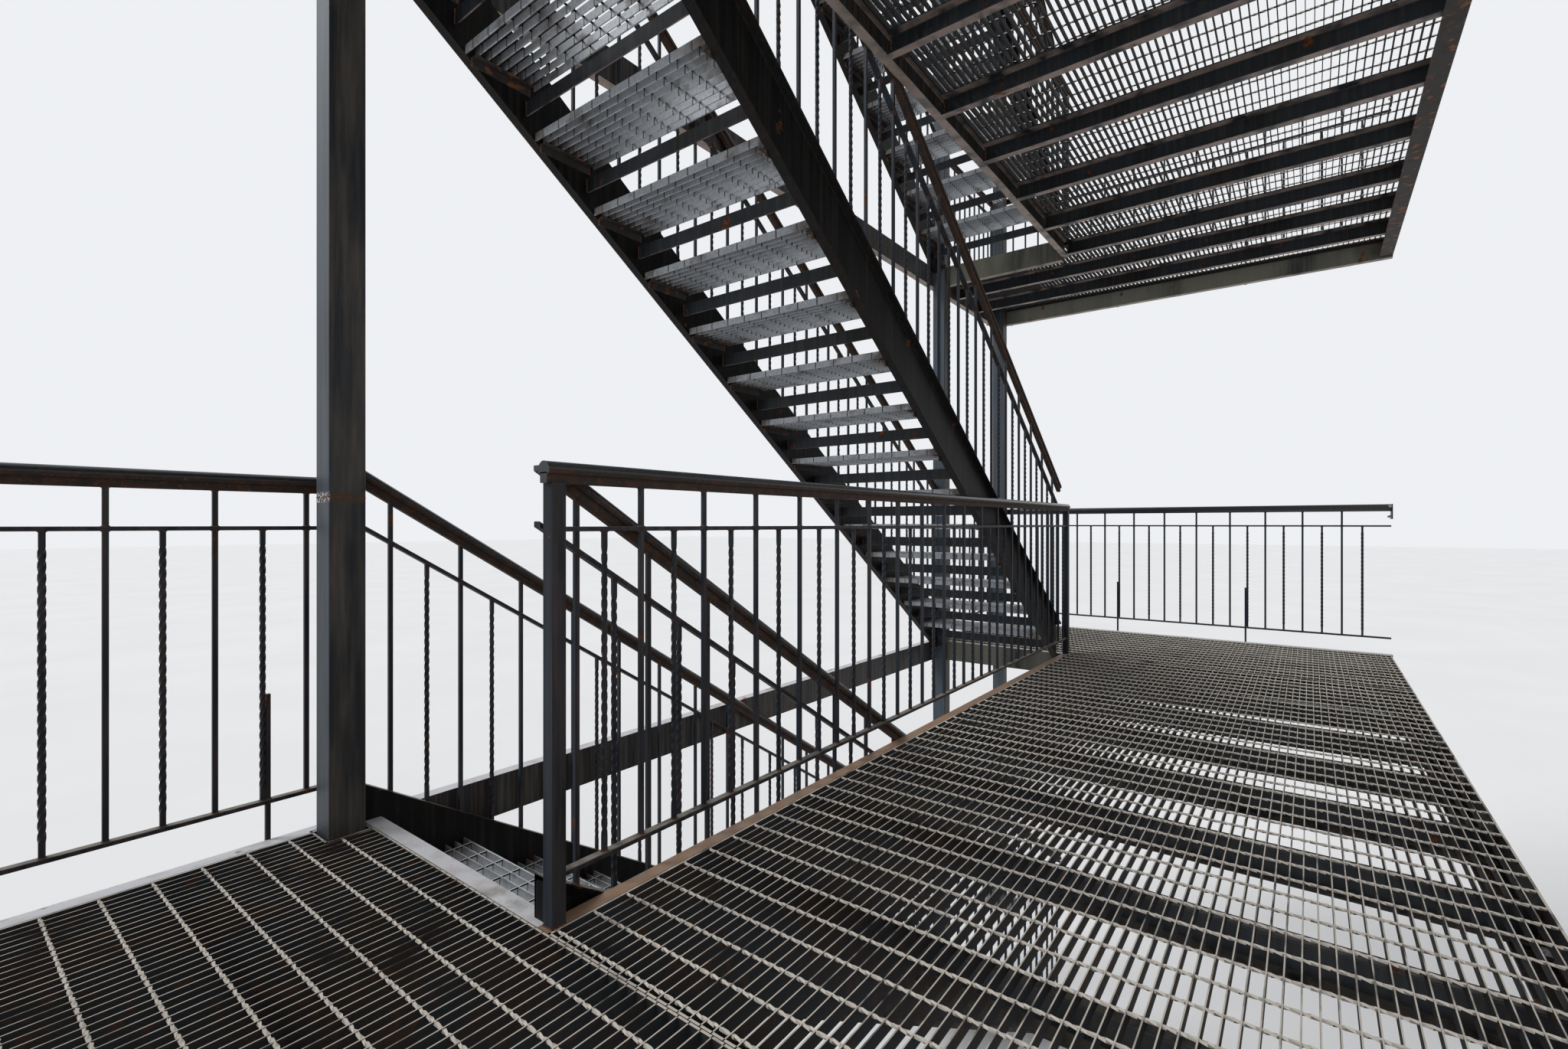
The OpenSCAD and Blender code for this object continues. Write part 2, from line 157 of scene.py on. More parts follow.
class RolledSizes(bpy.types.PropertyGroup):
    """Sizes of the rolled channels and angles."""

    beam_depth: length_of("Beam depth", "Depth of edge, end and header channels",
                          extent("level_1_cross_beams", 2))
    beam_flange: length_of("Beam flange", "Flange width of the edge and end channels",
                           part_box("level_1_cross_beams")[1].x - NEAR_EDGE)
    joist_depth: length_of("Joist depth", "Depth of the joists", extent("level_1_joists", 2))
    joist_flange: length_of("Joist flange", "Flange width of the joists", 0.040)
    well_depth: length_of("Well beam depth", "Depth of the beam along the stairwell", 0.127)
    well_flange: length_of("Well beam flange", "Flange width of the well beam", WALK_Y - WELL_Y)
    stringer_depth: length_of("Stringer depth", "Depth of a stringer, square to its slope", 0.254)
    stringer_rise: length_of("Stringer rise", "Top of a stringer over the nosing line", 0.088)
    web: length_of("Web", "Web of all channels", 0.006)
    flange: length_of("Flange", "Middle thickness of the flanges", 0.008)
    taper: length_of("Taper", "Half the change of flange thickness from web to toe", 0.002)
    toe_round: length_of("Toe round", "Radius of the flange toes", 0.003)
    tube_round: length_of("Tube round", "Corner radius of the square tubes", 0.004)
    root_round: length_of("Root round", "Radius of the fillet between web and flange", 0.008)
    ledger_leg: length_of("Ledger leg", "Leg of the ledger angle under the joists", 0.076)
    riser_ease: length_of("Riser bar corner", "Corner radius of the flat bars in the risers", 0.0012)
    carrier_leg: length_of("Carrier leg", "Legs of the tread carriers", 0.032)
    carrier_thick: length_of("Carrier thickness", "Thickness of the tread carriers", 0.004)
    carrier_length: length_of("Carrier length", "Length of a tread carrier", RUN - 0.050)


class LatticeSizes(bpy.types.PropertyGroup):
    """Sizes of the bar gratings."""

    bar_pitch: length_of("Bar pitch", "Distance between the load bars", 0.030)
    bar_thick: length_of("Bar thickness", "Thickness of a load bar of a floor", 0.003)
    tread_pitch: length_of("Tread bar pitch", "Distance between the load bars of a tread", 0.034)
    tread_bar: length_of("Tread bar", "Thickness of a load bar of a tread", 0.0045)
    tread_rod: length_of("Tread rod", "Side of the plain cross rods of a tread", 0.005)
    rod_below: length_of("Rod below", "Top of a tread to the top of its cross rods", 0.0005)
    ease: length_of("Bar corner", "Corner radius of a load bar of a tread", 0.0008)
    tread_rods: length_of("Tread rod pitch", "Distance between the cross rods of a tread", 0.1005)
    rod_pitch: length_of("Rod pitch", "Distance between the cross rods", 0.1025)
    rod_side: length_of("Rod side", "Side of the twisted square cross rods", 0.0066)
    rod_turn: length_of("Rod turn", "Length of one full twist of a cross rod", 0.100)
    first_rod: length_of("First rod", "First cross rod of a floor from its header", 0.089)
    first_tread_rod: length_of("First tread rod", "First cross rod of a tread from a stringer", 0.054)
    band: length_of("Band", "Thickness of the banding bars", 0.006)
    notch: length_of("Notch", "Gap left round a post", 0.008)


class GuardSizes(bpy.types.PropertyGroup):
    """Sizes of the guards and handrails."""

    pitch: length_of("Pitch", "Distance between balusters on the stairs and the ends", 0.119)
    outer_first: length_of("Outer first", "First baluster of the outer stair rail from its head", 0.1055)
    inner_first: length_of("Inner first", "First baluster of the inner stair rail from its head", 0.111)
    inner_over: length_of("Inner over", "Inner stair rail over the outer one", 0.017)
    crown_drop: length_of("Crown drop", "Crown of a platform's cap to the level cut of the inner one", 0.008)
    well_pitch: length_of("Well pitch", "Distance between balusters along the stairwell", 0.1206)
    well_first: length_of("Well first", "First tall baluster along the stairwell", 0.199)
    edge_pitch: length_of("Edge pitch", "Distance between balusters on the outer edge", 0.1135)
    edge_first: length_of("Edge first", "First baluster on the outer edge", 0.110)
    baluster: length_of("Baluster", "Side of the square balusters", 0.0127)
    turn: length_of("Turn", "Length of one full twist of a baluster", 0.115)
    plain_end: length_of("Plain end", "Untwisted end of a twisted baluster", 0.045)
    soft: length_of("Soft corner", "Corner radius of a twisted baluster", 0.0012)
    bar_width: length_of("Bar width", "Width of the flat middle and bottom rails", 0.025)
    bar_thick: length_of("Bar thickness", "Thickness of the flat rails", 0.012)
    mid_drop: length_of("Middle drop", "Top of the cap rail to top of the middle rail", 0.155)
    bottom_gap: length_of("Bottom gap", "Floor to the underside of the bottom rail", 0.109)
    leg_height: length_of("Leg height", "Floor to the top of a leg", 0.438)
    newel: length_of("Newel", "Side of the small posts at the stairwell", 0.038)
    lug: length_of("Lug", "Width of the lugs between an outer guard and its post", 0.040)
    end_plate: length_of("End plate", "Side of the bolted plate of an end guard", 0.110)
    collar: length_of("Collar", "Leg of the small welds round a baluster", 0.003)
    rail_ease: length_of("Rail corner", "Corner radius of flat rails, lugs and small posts", 0.0015)
    bar_ease: length_of("Plain corner", "Corner radius of a plain baluster", 0.0008)
    let_in: length_of("Let in", "How far a baluster or a lug is let into what it meets", 0.004)
    bolt_inset: length_of("Bolt inset", "Edge of an end plate to its bolts", 0.018)


class JoinSizes(bpy.types.PropertyGroup):
    """Sizes of welds and anchors."""

    splice_height: length_of("Splice height", "Post splice over a floor", 1.033)
    bead: length_of("Bead", "Radius of a weld bead", 0.005)
    splice_bead: length_of("Splice bead", "Radius of the weld round a post splice", 0.0025)
    fine_bead: length_of("Fine bead", "Radius of the welds on guards, carriers and riser bars", 0.0035)
    leg_bead: length_of("Leg bead", "Radius of the welds on the legs of the guards", 0.003)
    leg_weld: length_of("Leg weld", "Length of the weld between a leg and its baluster", 0.035)
    sink: length_of("Bead sink", "How deep a weld bead is let into the steel", 0.002)
    flange_gap: length_of("Flange gap", "Length left unwelded at the flanges of an edge beam", 0.012)
    ripple: length_of("Ripple", "Distance between the ripples of a weld", 0.006)
    nut_across: length_of("Nut", "Width of an anchor nut across its flats", 0.024)
    small_nut: length_of("Small nut", "Width of a plate nut across its flats", 0.016)
    anchor_gap: length_of("Anchor gap", "Distance between the anchors of a base plate", 0.190)
    ledger_anchor_drop: length_of("Ledger anchor drop", "Top of the ledger angle to its anchors", 0.070)


class FinishColours(bpy.types.PropertyGroup):
    """Colours of the finishes."""

    paint: colour_of("Paint", "Black paint in good condition", "#202428")
    # Painted shade: darker than the paint, for the stringers and joists that stand in shade
    paint_deep: colour_of("Deep paint", "Black paint in the shelter of the flights", "#111213")
    # Also painted light: this blue-grey stands for the lit sides of the paint as well as its chalking
    faded_and_lit_paint: colour_of("Faded paint", "Chalked paint of the open sides", "#3f4a55")
    paint_brown: colour_of("Sheltered paint", "Paint with old dirt on it", "#28201b")
    rust: colour_of("Rust", "Dark settled rust", "#43291a")
    rust_bright: colour_of("Fresh rust", "Orange rust", "#7d4722")
    run_tan: colour_of("Water runs", "Dry mineral runs", "#837460")
    dust: colour_of("Dust", "Dust on level faces", "#7f7970")
    bare: colour_of("Worn steel", "Steel polished by shoes", "#e2e4e6")
    zinc: colour_of("Zinc", "Dull galvanised steel", "#aeb2b7")
    zinc_dirt: colour_of("Tread dirt", "Brown dirt on the treads", "#54463a")
    ledger: colour_of("Ledger angle", "Paint of the angle under the ends of the joists", "#2e2b28")
    # Also painted shade: the tone of the posts' +Y side, which stands in shade
    post_shade_smear: colour_of("Post smears", "Old dirt on the sheltered side of the posts", "#4c4743")
    band_brown: colour_of("Splice band", "Brown rust of the post splices", "#4a3526")
    # Also painted shade: the tone of the rails' +Y side, which stands in shade
    rail_mauve: colour_of("Rail shade", "Mauve-brown bloom on the sheltered side of the rails", "#433b3e")
    # Partly painted light: the grey of the rails' lit sides, as well as their chalking
    rail_chalk_and_light: colour_of("Rail chalk", "Chalked grey on the open side of the rails", "#2b3542")
    worn_paint: colour_of("Worn paint", "Beige steel where the paint is walked off", "#cbc3b8")
    worn_header: colour_of("Worn header", "Blue-grey steel where the paint is walked off", "#cfd0d5")
    worn_tan: colour_of("Worn tan", "Rusty tan where the paint is walked off", "#947861")
    rod_dust: colour_of("Rod dust", "Pale dust caked on the cross rods", "#d6cfc5")
    stain: colour_of("Stains", "Pale rust stains on trodden steel", "#8c6c58")
    beam_dust: colour_of("Beam dust", "Greenish dust on the open faces of the beams", "#77776b")
    # Painted light: the pale pink of the faces that look down on the beams and joists stands for light from
    # below
    under_lit_pink: colour_of("Undersides", "Pinkish bloom under the beams", "#98867d")
    ground: colour_of("Ground", "Floor of the studio", "#e9eaec")
    surround: colour_of("Surround", "Background of the studio", "#eef0f3")


# Sizes and colours, as the panel shows them

def rolled():
    return bpy.context.scene.fire_escape_rolled


def lattice():
    return bpy.context.scene.fire_escape_lattice


def guards():
    return bpy.context.scene.fire_escape_guards


def joins():
    return bpy.context.scene.fire_escape_joins


def colours():
    return bpy.context.scene.fire_escape_colours


# Forms: each is a list of points and a list of faces, closed and facing outwards

def outward(points, faces):
    """Turns the faces of a closed form outwards."""
    volume = 0.0
    for face in faces:
        a = Vector(points[face[0]])
        for i in range(1, len(face) - 1):
            volume += a.dot(Vector(points[face[i]]).cross(Vector(points[face[i + 1]])))
    return points, faces if volume > 0 else [face[::-1] for face in faces]


def sweep(outline, stations):
    """Carries an outline through stations, each an origin with the directions of u and v."""
    count = len(outline)
    points = []
    for (x, y, z), (ux, uy, uz), (vx, vy, vz) in stations:
        points += [(x + u * ux + v * vx, y + u * uy + v * vy, z + u * uz + v * vz) for u, v in outline]
    faces = [list(range(count)), list(range(len(points) - count, len(points)))[::-1]]
    for ring in range(0, len(points) - count, count):
        for i in range(count):
            j = (i + 1) % count
            faces.append([ring + j, ring + i, ring + count + i, ring + count + j])
    return outward(points, faces)


def along_x(outline, x0, x1, y, z0, z1=None):
    """Sweeps an outline along X with u to +Y and v to +Z, and with upright ends where it slopes."""
    z_end = z0 if z1 is None else z1
    return sweep(outline, [((x0, y, z0), (0, 1, 0), (0, 0, 1)), ((x1, y, z_end), (0, 1, 0), (0, 0, 1))])


def along_y(outline, x, y0, y1, z):
    """Sweeps an outline along Y with u to +X and v to +Z."""
    return sweep(outline, [((x, y0, z), (1, 0, 0), (0, 0, 1)), ((x, y1, z), (1, 0, 0), (0, 0, 1))])


def stack(outline, levels):
    """Raises an outline along Z through levels, each a height and a scale."""
    return sweep(outline, [((0, 0, z), (s, 0, 0), (0, s, 0)) for z, s in levels])


def block(low, high):
    """A plain bar between two corners."""
    outline = [(low[0], low[1]), (high[0], low[1]), (high[0], high[1]), (low[0], high[1])]
    return sweep(outline, [((0, 0, z), (1, 0, 0), (0, 1, 0)) for z in (low[2], high[2])])


def arc(u, v, radius, start, end, steps):
    """Points on an arc round a centre, in degrees."""
    turns = [math.radians(start + (end - start) * i / steps) for i in range(steps + 1)]
    return [(u + radius * math.cos(t), v + radius * math.sin(t)) for t in turns]


def eased(width, height, radius, steps=2):
    """A rectangle round the middle of the drawing, with eased corners."""
    w, h = width / 2 - radius, height / 2 - radius
    corners = ((w, h, 0), (-w, h, 90), (-w, -h, 180), (w, -h, 270))
    return [p for u, v, start in corners for p in arc(u, v, radius, start, start + 90, steps)]


def channel(depth, flange, side=1, tilt=1.0):
    """Rolled channel with its back on u = 0 and its top on v = 0: tapered flanges, round toes, fillets."""
    sizes = rolled()
    toe, root = sizes.flange - sizes.taper, sizes.flange + sizes.taper
    r, fillet = sizes.toe_round, sizes.root_round
    half = [(0, 0), (flange, 0)]
    half += arc(flange - r, r - toe, r, 0, -90, 3)
    half += arc(sizes.web + fillet, -root - fillet, fillet, 90, 180, 4)
    whole = half + [(u, -depth - v) for u, v in reversed(half)]
    return [(u * side, v * tilt) for u, v in whole]


def angle_iron(leg, drop, thick, toe_round):
    """Angle with a level leg along +u and a leg down from its end, its top on v = 0."""
    level_toe = arc(toe_round, -thick + toe_round, toe_round, 180, 270, 3)
    foot_toe = arc(leg - thick + toe_round, -drop + toe_round, toe_round, 180, 270, 3)
    return [(leg, 0), (0, 0)] + level_toe + [(leg - thick, -thick)] + foot_toe + [(leg, -drop)]


def dome():
    """Top of the moulded cap rail, with its crown on v = 0."""
    radius = CAP_WIDTH / 2
    turn = math.degrees(math.asin(1 / 3))
    return arc(0, -radius, radius, -turn, 180 + turn, 22)


def stem():
    """Narrow lower part of the moulded cap rail, let into the dome."""
    half, low, high = CAP_WIDTH * 5 / 16, -CAP_DEPTH, -CAP_WIDTH * 0.6
    ease = 0.003
    feet = arc(-half + ease, low + ease, ease, 180, 270, 3) + arc(half - ease, low + ease, ease, 270, 360, 3)
    return [(half, high), (-half, high)] + feet


def twisted_bar(outline, height, turn, plain, step=30):
    """Bar along +Z from z = 0, twisted between its plain ends, with a ring at every step in degrees."""
    quarters = max(1, round((height - 2 * plain) / turn * 4))
    rings = max(1, quarters * 90 // step)
    stations = [((0, 0, 0), (1, 0, 0), (0, 1, 0))] if plain else []
    for ring in range(rings + 1):
        a = math.radians(ring * step)
        z = plain + (height - 2 * plain) * ring / rings
        stations.append(((0, 0, z), (math.cos(a), math.sin(a), 0), (-math.sin(a), math.cos(a), 0)))
    if plain:
        a = math.radians(rings * step)
        stations.append(((0, 0, height), (math.cos(a), math.sin(a), 0), (-math.sin(a), math.cos(a), 0)))
    return sweep(outline, stations)


def bead(start, end, radius):
    """Rippled weld bead along a straight corner."""
    start, end = Vector(start), Vector(end)
    way = (end - start).normalized()
    first = way.orthogonal().normalized()
    second = way.cross(first)
    steps = max(2, round((end - start).length / joins().ripple)) * 2
    outline = arc(0, 0, 1, 0, 300, 5)
    stations = []
    # Every second ring swells, and a slower wave keeps the ripples uneven
    for k in range(steps + 1):
        swell = radius * (1.0 + 0.16 * math.cos(k * math.pi) + 0.08 * math.sin(k * 0.9))
        stations.append((start.lerp(end, k / steps), first * swell, second * swell))
    return sweep(outline, stations)


def moved(form, matrix):
    """A form carried by a matrix."""
    points = [tuple(matrix @ Vector(point)) for point in form[0]]
    return outward(points, form[1])


def cut(form, point, normal):
    """Cuts away what lies past a plane on the side of its normal, and closes the cut."""
    mesh = bmesh.new()
    corners = [mesh.verts.new(p) for p in form[0]]
    for face in form[1]:
        mesh.faces.new([corners[i] for i in face])
    everything = mesh.verts[:] + mesh.edges[:] + mesh.faces[:]
    made = bmesh.ops.bisect_plane(
        mesh, geom=everything, dist=1e-6, plane_co=point, plane_no=normal, clear_outer=True)
    rim = [part for part in made["geom_cut"] if isinstance(part, bmesh.types.BMEdge)]
    bmesh.ops.edgeloop_fill(mesh, edges=rim)
    mesh.verts.index_update()
    points = [tuple(v.co) for v in mesh.verts]
    faces = [[v.index for v in f.verts] for f in mesh.faces]
    mesh.free()
    return outward(points, faces)


class Steelwork:
    """Gathers the forms of one piece, each with the number of its finish."""

    def __init__(self):
        self.points, self.faces, self.finishes = [], [], []

    def add(self, form, finish=0, places=((0, 0, 0),)):
        """Adds a form at each of the places."""
        points, faces = form
        for dx, dy, dz in places:
            first = len(self.points)
            self.points += [(x + dx, y + dy, z + dz) for x, y, z in points]
            self.faces += [[first + i for i in face] for face in faces]
            self.finishes += [finish] * len(faces)

    def take(self, other, matrix):
        """Adds what another gathering holds, carried by a matrix."""
        first = len(self.points)
        flip = matrix.determinant() < 0
        self.points += [tuple(matrix @ Vector(point)) for point in other.points]
        faces = [[first + i for i in face] for face in other.faces]
        self.faces += [face[::-1] for face in faces] if flip else faces
        self.finishes += other.finishes

    def make(self, name, finish_names, slot, nodes=()):
        """Makes the piece, which stands for the nodes and takes the named finishes."""
        mesh = bpy.data.meshes.new(name)
        mesh.from_pydata(self.points, [], self.faces)
        for finish_name in finish_names:
            mesh.materials.append(finish(finish_name))
        mesh.polygons.foreach_set("material_index", self.finishes)
        mesh.polygons.foreach_set("use_smooth", [True] * len(mesh.polygons))
        mesh.update()
        mesh.set_sharp_from_angle(angle=SHARP_EDGE)
        piece = bpy.data.objects.new(name, mesh)
        # Keeps the flats flat beside their rounded corners
        piece.modifiers.new("face_weighted_normals", "WEIGHTED_NORMAL").keep_sharp = True
        bpy.context.collection.objects.link(piece)
        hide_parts(*nodes)
        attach(piece, "root")


# Finishes: brush marks, pits and grit are drawn 1 to 4 mm wide, coarser than real ones, so that they show

def add_node(tree, kind, inputs=(), **settings):
    """Adds a node with its settings, and feeds its inputs, by name or in their order, with values or
    with other outputs."""
    node = tree.nodes.new("ShaderNode" + kind)
    for key, value in settings.items():
        setattr(node, key, value)
    for key, value in inputs.items() if isinstance(inputs, dict) else enumerate(inputs):
        if isinstance(value, bpy.types.NodeSocket):
            tree.links.new(value, node.inputs[key])
        else:
            node.inputs[key].default_value = value
    return node


class Finish:
    """A material in the making, with the coordinates and directions that its patterns use."""

    def __init__(self, name):
        self.material = bpy.data.materials.new(name)
        self.material.use_nodes = True
        self.tree = self.material.node_tree
        self.shader = self.tree.nodes["Principled BSDF"]
        self.place = add_node(self.tree, "TexCoord").outputs["Object"]
        normal = add_node(self.tree, "NewGeometry").outputs["Normal"]
        self.facing = add_node(self.tree, "SeparateXYZ", [normal]).outputs
        self.position = add_node(self.tree, "SeparateXYZ", [self.place]).outputs

    def add(self, kind, inputs=(), **settings):
        """Adds a node to the material and gives its first output. A MapRange takes a value, the low
        and the high end of its range, and what it becomes there."""
        return add_node(self.tree, kind, inputs, **settings).outputs[0]

    def patches(self, size, low, high, most=1.0, stretch=(1, 1, 1), detail=5):
        """Blotches of a size in metres, from 0 where the pattern is low to most where it is high."""
        scale = [1 / (size * s) for s in stretch]
        spread = self.add("Mapping", {"Vector": self.place, "Scale": scale})
        noise = self.add("TexNoise", {"Vector": spread, "Scale": 1.0, "Detail": detail})
        return self.add("MapRange", (noise, low, high, 0.0, most))

    def coats(self, ground, *layers):
        """Lays coats over a ground, each a cover and a colour."""
        colour = ground
        for cover, over in layers:
            mix = add_node(self.tree, "Mix", {0: cover, 6: colour, 7: over}, data_type="RGBA")
            colour = mix.outputs[2]
        return colour

    def finish(self, colour, roughness, height=None, depth=0.0, metallic=0.0, specular=0.5):
        """Feeds the shader, with a relief of a depth in metres."""
        fed = {"Base Color": colour, "Roughness": roughness, "Metallic": metallic,
               "Specular IOR Level": specular}
        if height is not None:
            fed["Normal"] = self.add("Bump", {"Height": height, "Distance": depth, "Strength": 0.7})
        for key, value in fed.items():
            if isinstance(value, bpy.types.NodeSocket):
                self.tree.links.new(value, self.shader.inputs[key])
            else:
                self.shader.inputs[key].default_value = value
        return self.material


def near_heights(made, heights, reach, fade):
    """1 within a reach of each height, and falling to 0 over a further length."""
    cover = None
    for z in heights:
        away = made.add("Math", (made.position[2], z), operation="SUBTRACT")
        size = made.add("Math", [away], operation="ABSOLUTE")
        band = made.add("MapRange", (size, reach, reach + fade, 1.0, 0.0))
        cover = band if cover is None else made.add("Math", (cover, band), operation="MAXIMUM")
    return cover


def weathered_paint(
        name, ground, shade, chalk, chalky, streak, rust, under, dust=0.5, shine=0.25, layers=None):
    """Black oil paint brushed on rolled steel and never renewed: whole and dark on the sheltered +Y
    side, where the dark is painted shade; chalked and streaked by rain on the open sides, where the
    blue-grey chalk is partly painted light of the lit sides; with rust that creeps under it. Layers
    gives further coats that lie over the paint and under the rust."""
    made = Finish(name)
    shades = colours()
    # The faces that do not look to +Y stand in the rain and take the chalk, which is partly painted light of
    # the lit sides
    open_lit_side = made.add("MapRange", (made.facing[1], 0.1, 0.8, 1.0, 0.0))
    chalking = made.patches(0.35, 0.30, 0.56, chalky, stretch=(1, 1, 3))
    chalk_and_light = made.add("Math", (open_lit_side, chalking), operation="MULTIPLY")
    # Water runs 18 mm wide and about half a metre long
    runs = made.patches(0.018, 0.44, 0.68, streak, stretch=(1, 1, 26), detail=6)
    # On the +Y side, which stands in shade, old dirt stands in broad upright smears, in a tone set as painted
    # shade of that side
    shaded_side = made.add("MapRange", (made.facing[1], 0.1, 0.9, 0.0, 1.0))
    smears = made.patches(0.035, 0.38, 0.66, 0.8, stretch=(1, 1, 7), detail=7)
    shade_side_smears = made.add("Math", (shaded_side, smears), operation="MULTIPLY")
    # Faces that look down take the under colour: on beams and joists a pinkish painted light from below,
    # elsewhere a brown darker than the paint
    underside = made.add("MapRange", (made.facing[2], -0.6, -0.9, 0.0, 1.0))
    below = made.add("Math", (underside, made.patches(0.09, 0.34, 0.58, 0.85)), operation="MULTIPLY")
    creeping = made.patches(0.11, rust, rust + 0.06, 0.92, detail=9)
    specks = made.patches(0.010, 0.70, 0.73, 0.7, detail=3)
    rusting = made.add("Math", (creeping, specks), operation="MAXIMUM")
    rust_tone = made.coats(shades.rust, (made.patches(0.016, 0.42, 0.62), shades.rust_bright))
    level = made.add("MapRange", (made.facing[2], 0.6, 0.95, 0.0, 1.0))
    settled = made.add("Math", (level, made.patches(0.06, 0.30, 0.52, dust)), operation="MULTIPLY")
    colour = made.coats(
        ground, (shade_side_smears, shade), (chalk_and_light, chalk), (runs, shades.run_tan), (below, under),
        (settled, shades.dust), *(layers(made) if layers else ()), (rusting, rust_tone))
    roughness = made.add("MapRange", (rusting, 0.0, 1.0, 0.5, 0.9))
    brushed = made.patches(0.004, 0.3, 0.7, 0.35, detail=3)
    height = made.add("Math", (brushed, rusting), operation="ADD")
    return made.finish(colour, roughness, height, 0.0006, specular=shine)


def post_paint(name):
    """Paint on the square tubes: chalked blue-grey on the open sides, partly painted light. Each splice has a
    rusty band, with weld spatter on its +X side painted pale as a highlight, and each floor has left a little
    rust."""
    shades = colours()
    splices = [z + joins().splice_height for z in FLOOR_Z]

    def layers(made):
        band = near_heights(made, splices, 0.013, 0.004)
        rusty = made.add("Math", (band, made.patches(0.03, 0.25, 0.45, 0.9)), operation="MULTIPLY")
        # The spatter is pale only on the lit +X side: a painted highlight
        open_lit_side = made.add("MapRange", (made.facing[0], 0.3, 0.8, 0.0, 1.0))
        open_band = made.add("Math", (band, open_lit_side), operation="MULTIPLY")
        spatter_highlight = made.add("Math", (open_band, made.patches(0.007, 0.50, 0.60)), operation="MULTIPLY")
        creeping = made.patches(0.04, 0.56, 0.68, 0.4, detail=8)
        foot = near_heights(made, FLOOR_Z, 0.005, 0.04)
        feet = made.add("Math", (foot, creeping), operation="MULTIPLY")
        return (rusty, shades.band_brown), (spatter_highlight, shades.bare), (feet, shades.rust)

    return weathered_paint(
        name, ground=shades.paint, shade=shades.post_shade_smear, chalk=shades.faded_and_lit_paint, chalky=1.0, streak=0.15,
        rust=0.72, under=shades.paint_brown, layers=layers)


def trodden(tone, edge):
    """Coats for a top flange level with the floor: paint walked off it, and rust along its edges."""
    shades = colours()

    def layers(made):
        up = made.add("MapRange", (made.facing[2], 0.8, 0.95, 0.0, 1.0))
        level = made.add("Math", (near_heights(made, FLOOR_Z, 0.001, 0.002), up), operation="MULTIPLY")
        worn = made.patches(0.15, 0.24, 0.40, 0.96, detail=8)
        bare = made.add("Math", (level, worn), operation="MULTIPLY")
        stained = made.patches(0.06, 0.50, 0.66, edge, detail=8)
        stains = made.add("Math", (level, stained), operation="MULTIPLY")
        return (bare, tone), (stains, shades.stain)

    return layers


def joist_paint(name):
    """Paint on joists and riser bars: near-black webs, darker than the paint as painted shade, with a pinkish
    painted light underneath.
    """
    shades = colours()
    return weathered_paint(
        name, ground=shades.paint_deep, shade=shades.paint_brown, chalk=shades.faded_and_lit_paint, chalky=0.30,
        streak=0.08, rust=0.66, under=shades.under_lit_pink, dust=0.75)


def beam_paint(name):
    """Paint on edge beams and headers: greenish dust on the open faces, pinkish painted light on the
    undersides, and top flanges worn down to pale steel."""
    shades = colours()
    return weathered_paint(
        name, ground=shades.paint, shade=shades.paint_brown, chalk=shades.beam_dust, chalky=0.85, streak=0.25,
        rust=0.66, under=shades.under_lit_pink, dust=0.75, layers=trodden(shades.worn_header, 0.25))


def well_beam_paint(name):
    """Paint on the beam along the stairwell, where every step has left its top flange tan."""
    shades = colours()
    return weathered_paint(
        name, ground=shades.paint, shade=shades.paint_brown, chalk=shades.beam_dust, chalky=0.5, streak=0.25,
        rust=0.66, under=shades.under_lit_pink, dust=0.75, layers=trodden(shades.worn_tan, 0.7))


def stringer_paint(name):
    """Paint on the stringers, dull: near-black webs, darker than the paint as painted shade, with faint runs,
    dust on the flanges.
    """
    shades = colours()
    return weathered_paint(
        name, ground=shades.paint_deep, shade=shades.paint_deep, chalk=shades.faded_and_lit_paint, chalky=0.12,
        streak=0.05, rust=0.67, under=shades.paint_brown, dust=0.8, shine=0.08)


def rail_paint(name):
    """Paint on balusters and flat rails: blue-black, with pale dust on every level face."""
    shades = colours()
    return weathered_paint(
        name, ground=shades.paint, shade=shades.rail_mauve, chalk=shades.rail_chalk_and_light, chalky=0.9, streak=0.10,
        rust=0.66, under=shades.paint_brown, dust=0.95, shine=0.12)


def cap_paint(name):
    """Moulded cap rail: blue-black paint on the crown and on the ends that look to +X, rubbed smooth by
    hands, and sides that have rusted through to a dark mottled brown."""
    made = Finish(name)
    shades = colours()
    top = made.add("MapRange", (made.facing[2], 0.05, 0.35, 0.0, 1.0))
    end = made.add("MapRange", (made.facing[0], 0.7, 0.9, 0.0, 1.0))
    crown = made.add("Math", (top, end), operation="MAXIMUM")
    sides = made.coats(
        shades.paint_brown, (made.patches(0.030, 0.44, 0.60, 0.7), shades.rust),
        (made.patches(0.008, 0.60, 0.70, 0.55), shades.rust_bright))
    chipping = made.patches(0.020, 0.60, 0.66, 0.8, detail=8)
    chipped = made.add("Math", (crown, chipping), operation="MULTIPLY")
    colour = made.coats(sides, (crown, shades.paint), (chipped, shades.rust))
    roughness = made.add("MapRange", (crown, 0.0, 1.0, 0.9, 0.24))
    return made.finish(colour, roughness, made.patches(0.004, 0.35, 0.65, detail=4), 0.0002)


def worn_lattice(name):
    """Grating bars that shoes have worn: black sides and thin, pale beige top edges."""
    made = Finish(name)
    shades = colours()
    top = made.add("MapRange", (made.facing[2], 0.75, 0.95, 0.0, 1.0))
    worn = made.add("Math", (top, made.patches(0.12, 0.30, 0.50, 0.95)), operation="MULTIPLY")
    rusting = made.patches(0.035, 0.58, 0.66, 0.6, detail=8)
    tone = made.coats(
        shades.paint, (made.patches(0.2, 0.4, 0.6), shades.paint_brown), (rusting, shades.rust),
        (worn, shades.worn_paint))
    roughness = made.add("MapRange", (worn, 0.0, 1.0, 0.75, 0.55))
    return made.finish(tone, roughness, made.patches(0.003, 0.3, 0.7, detail=3), 0.0003, specular=0.25)


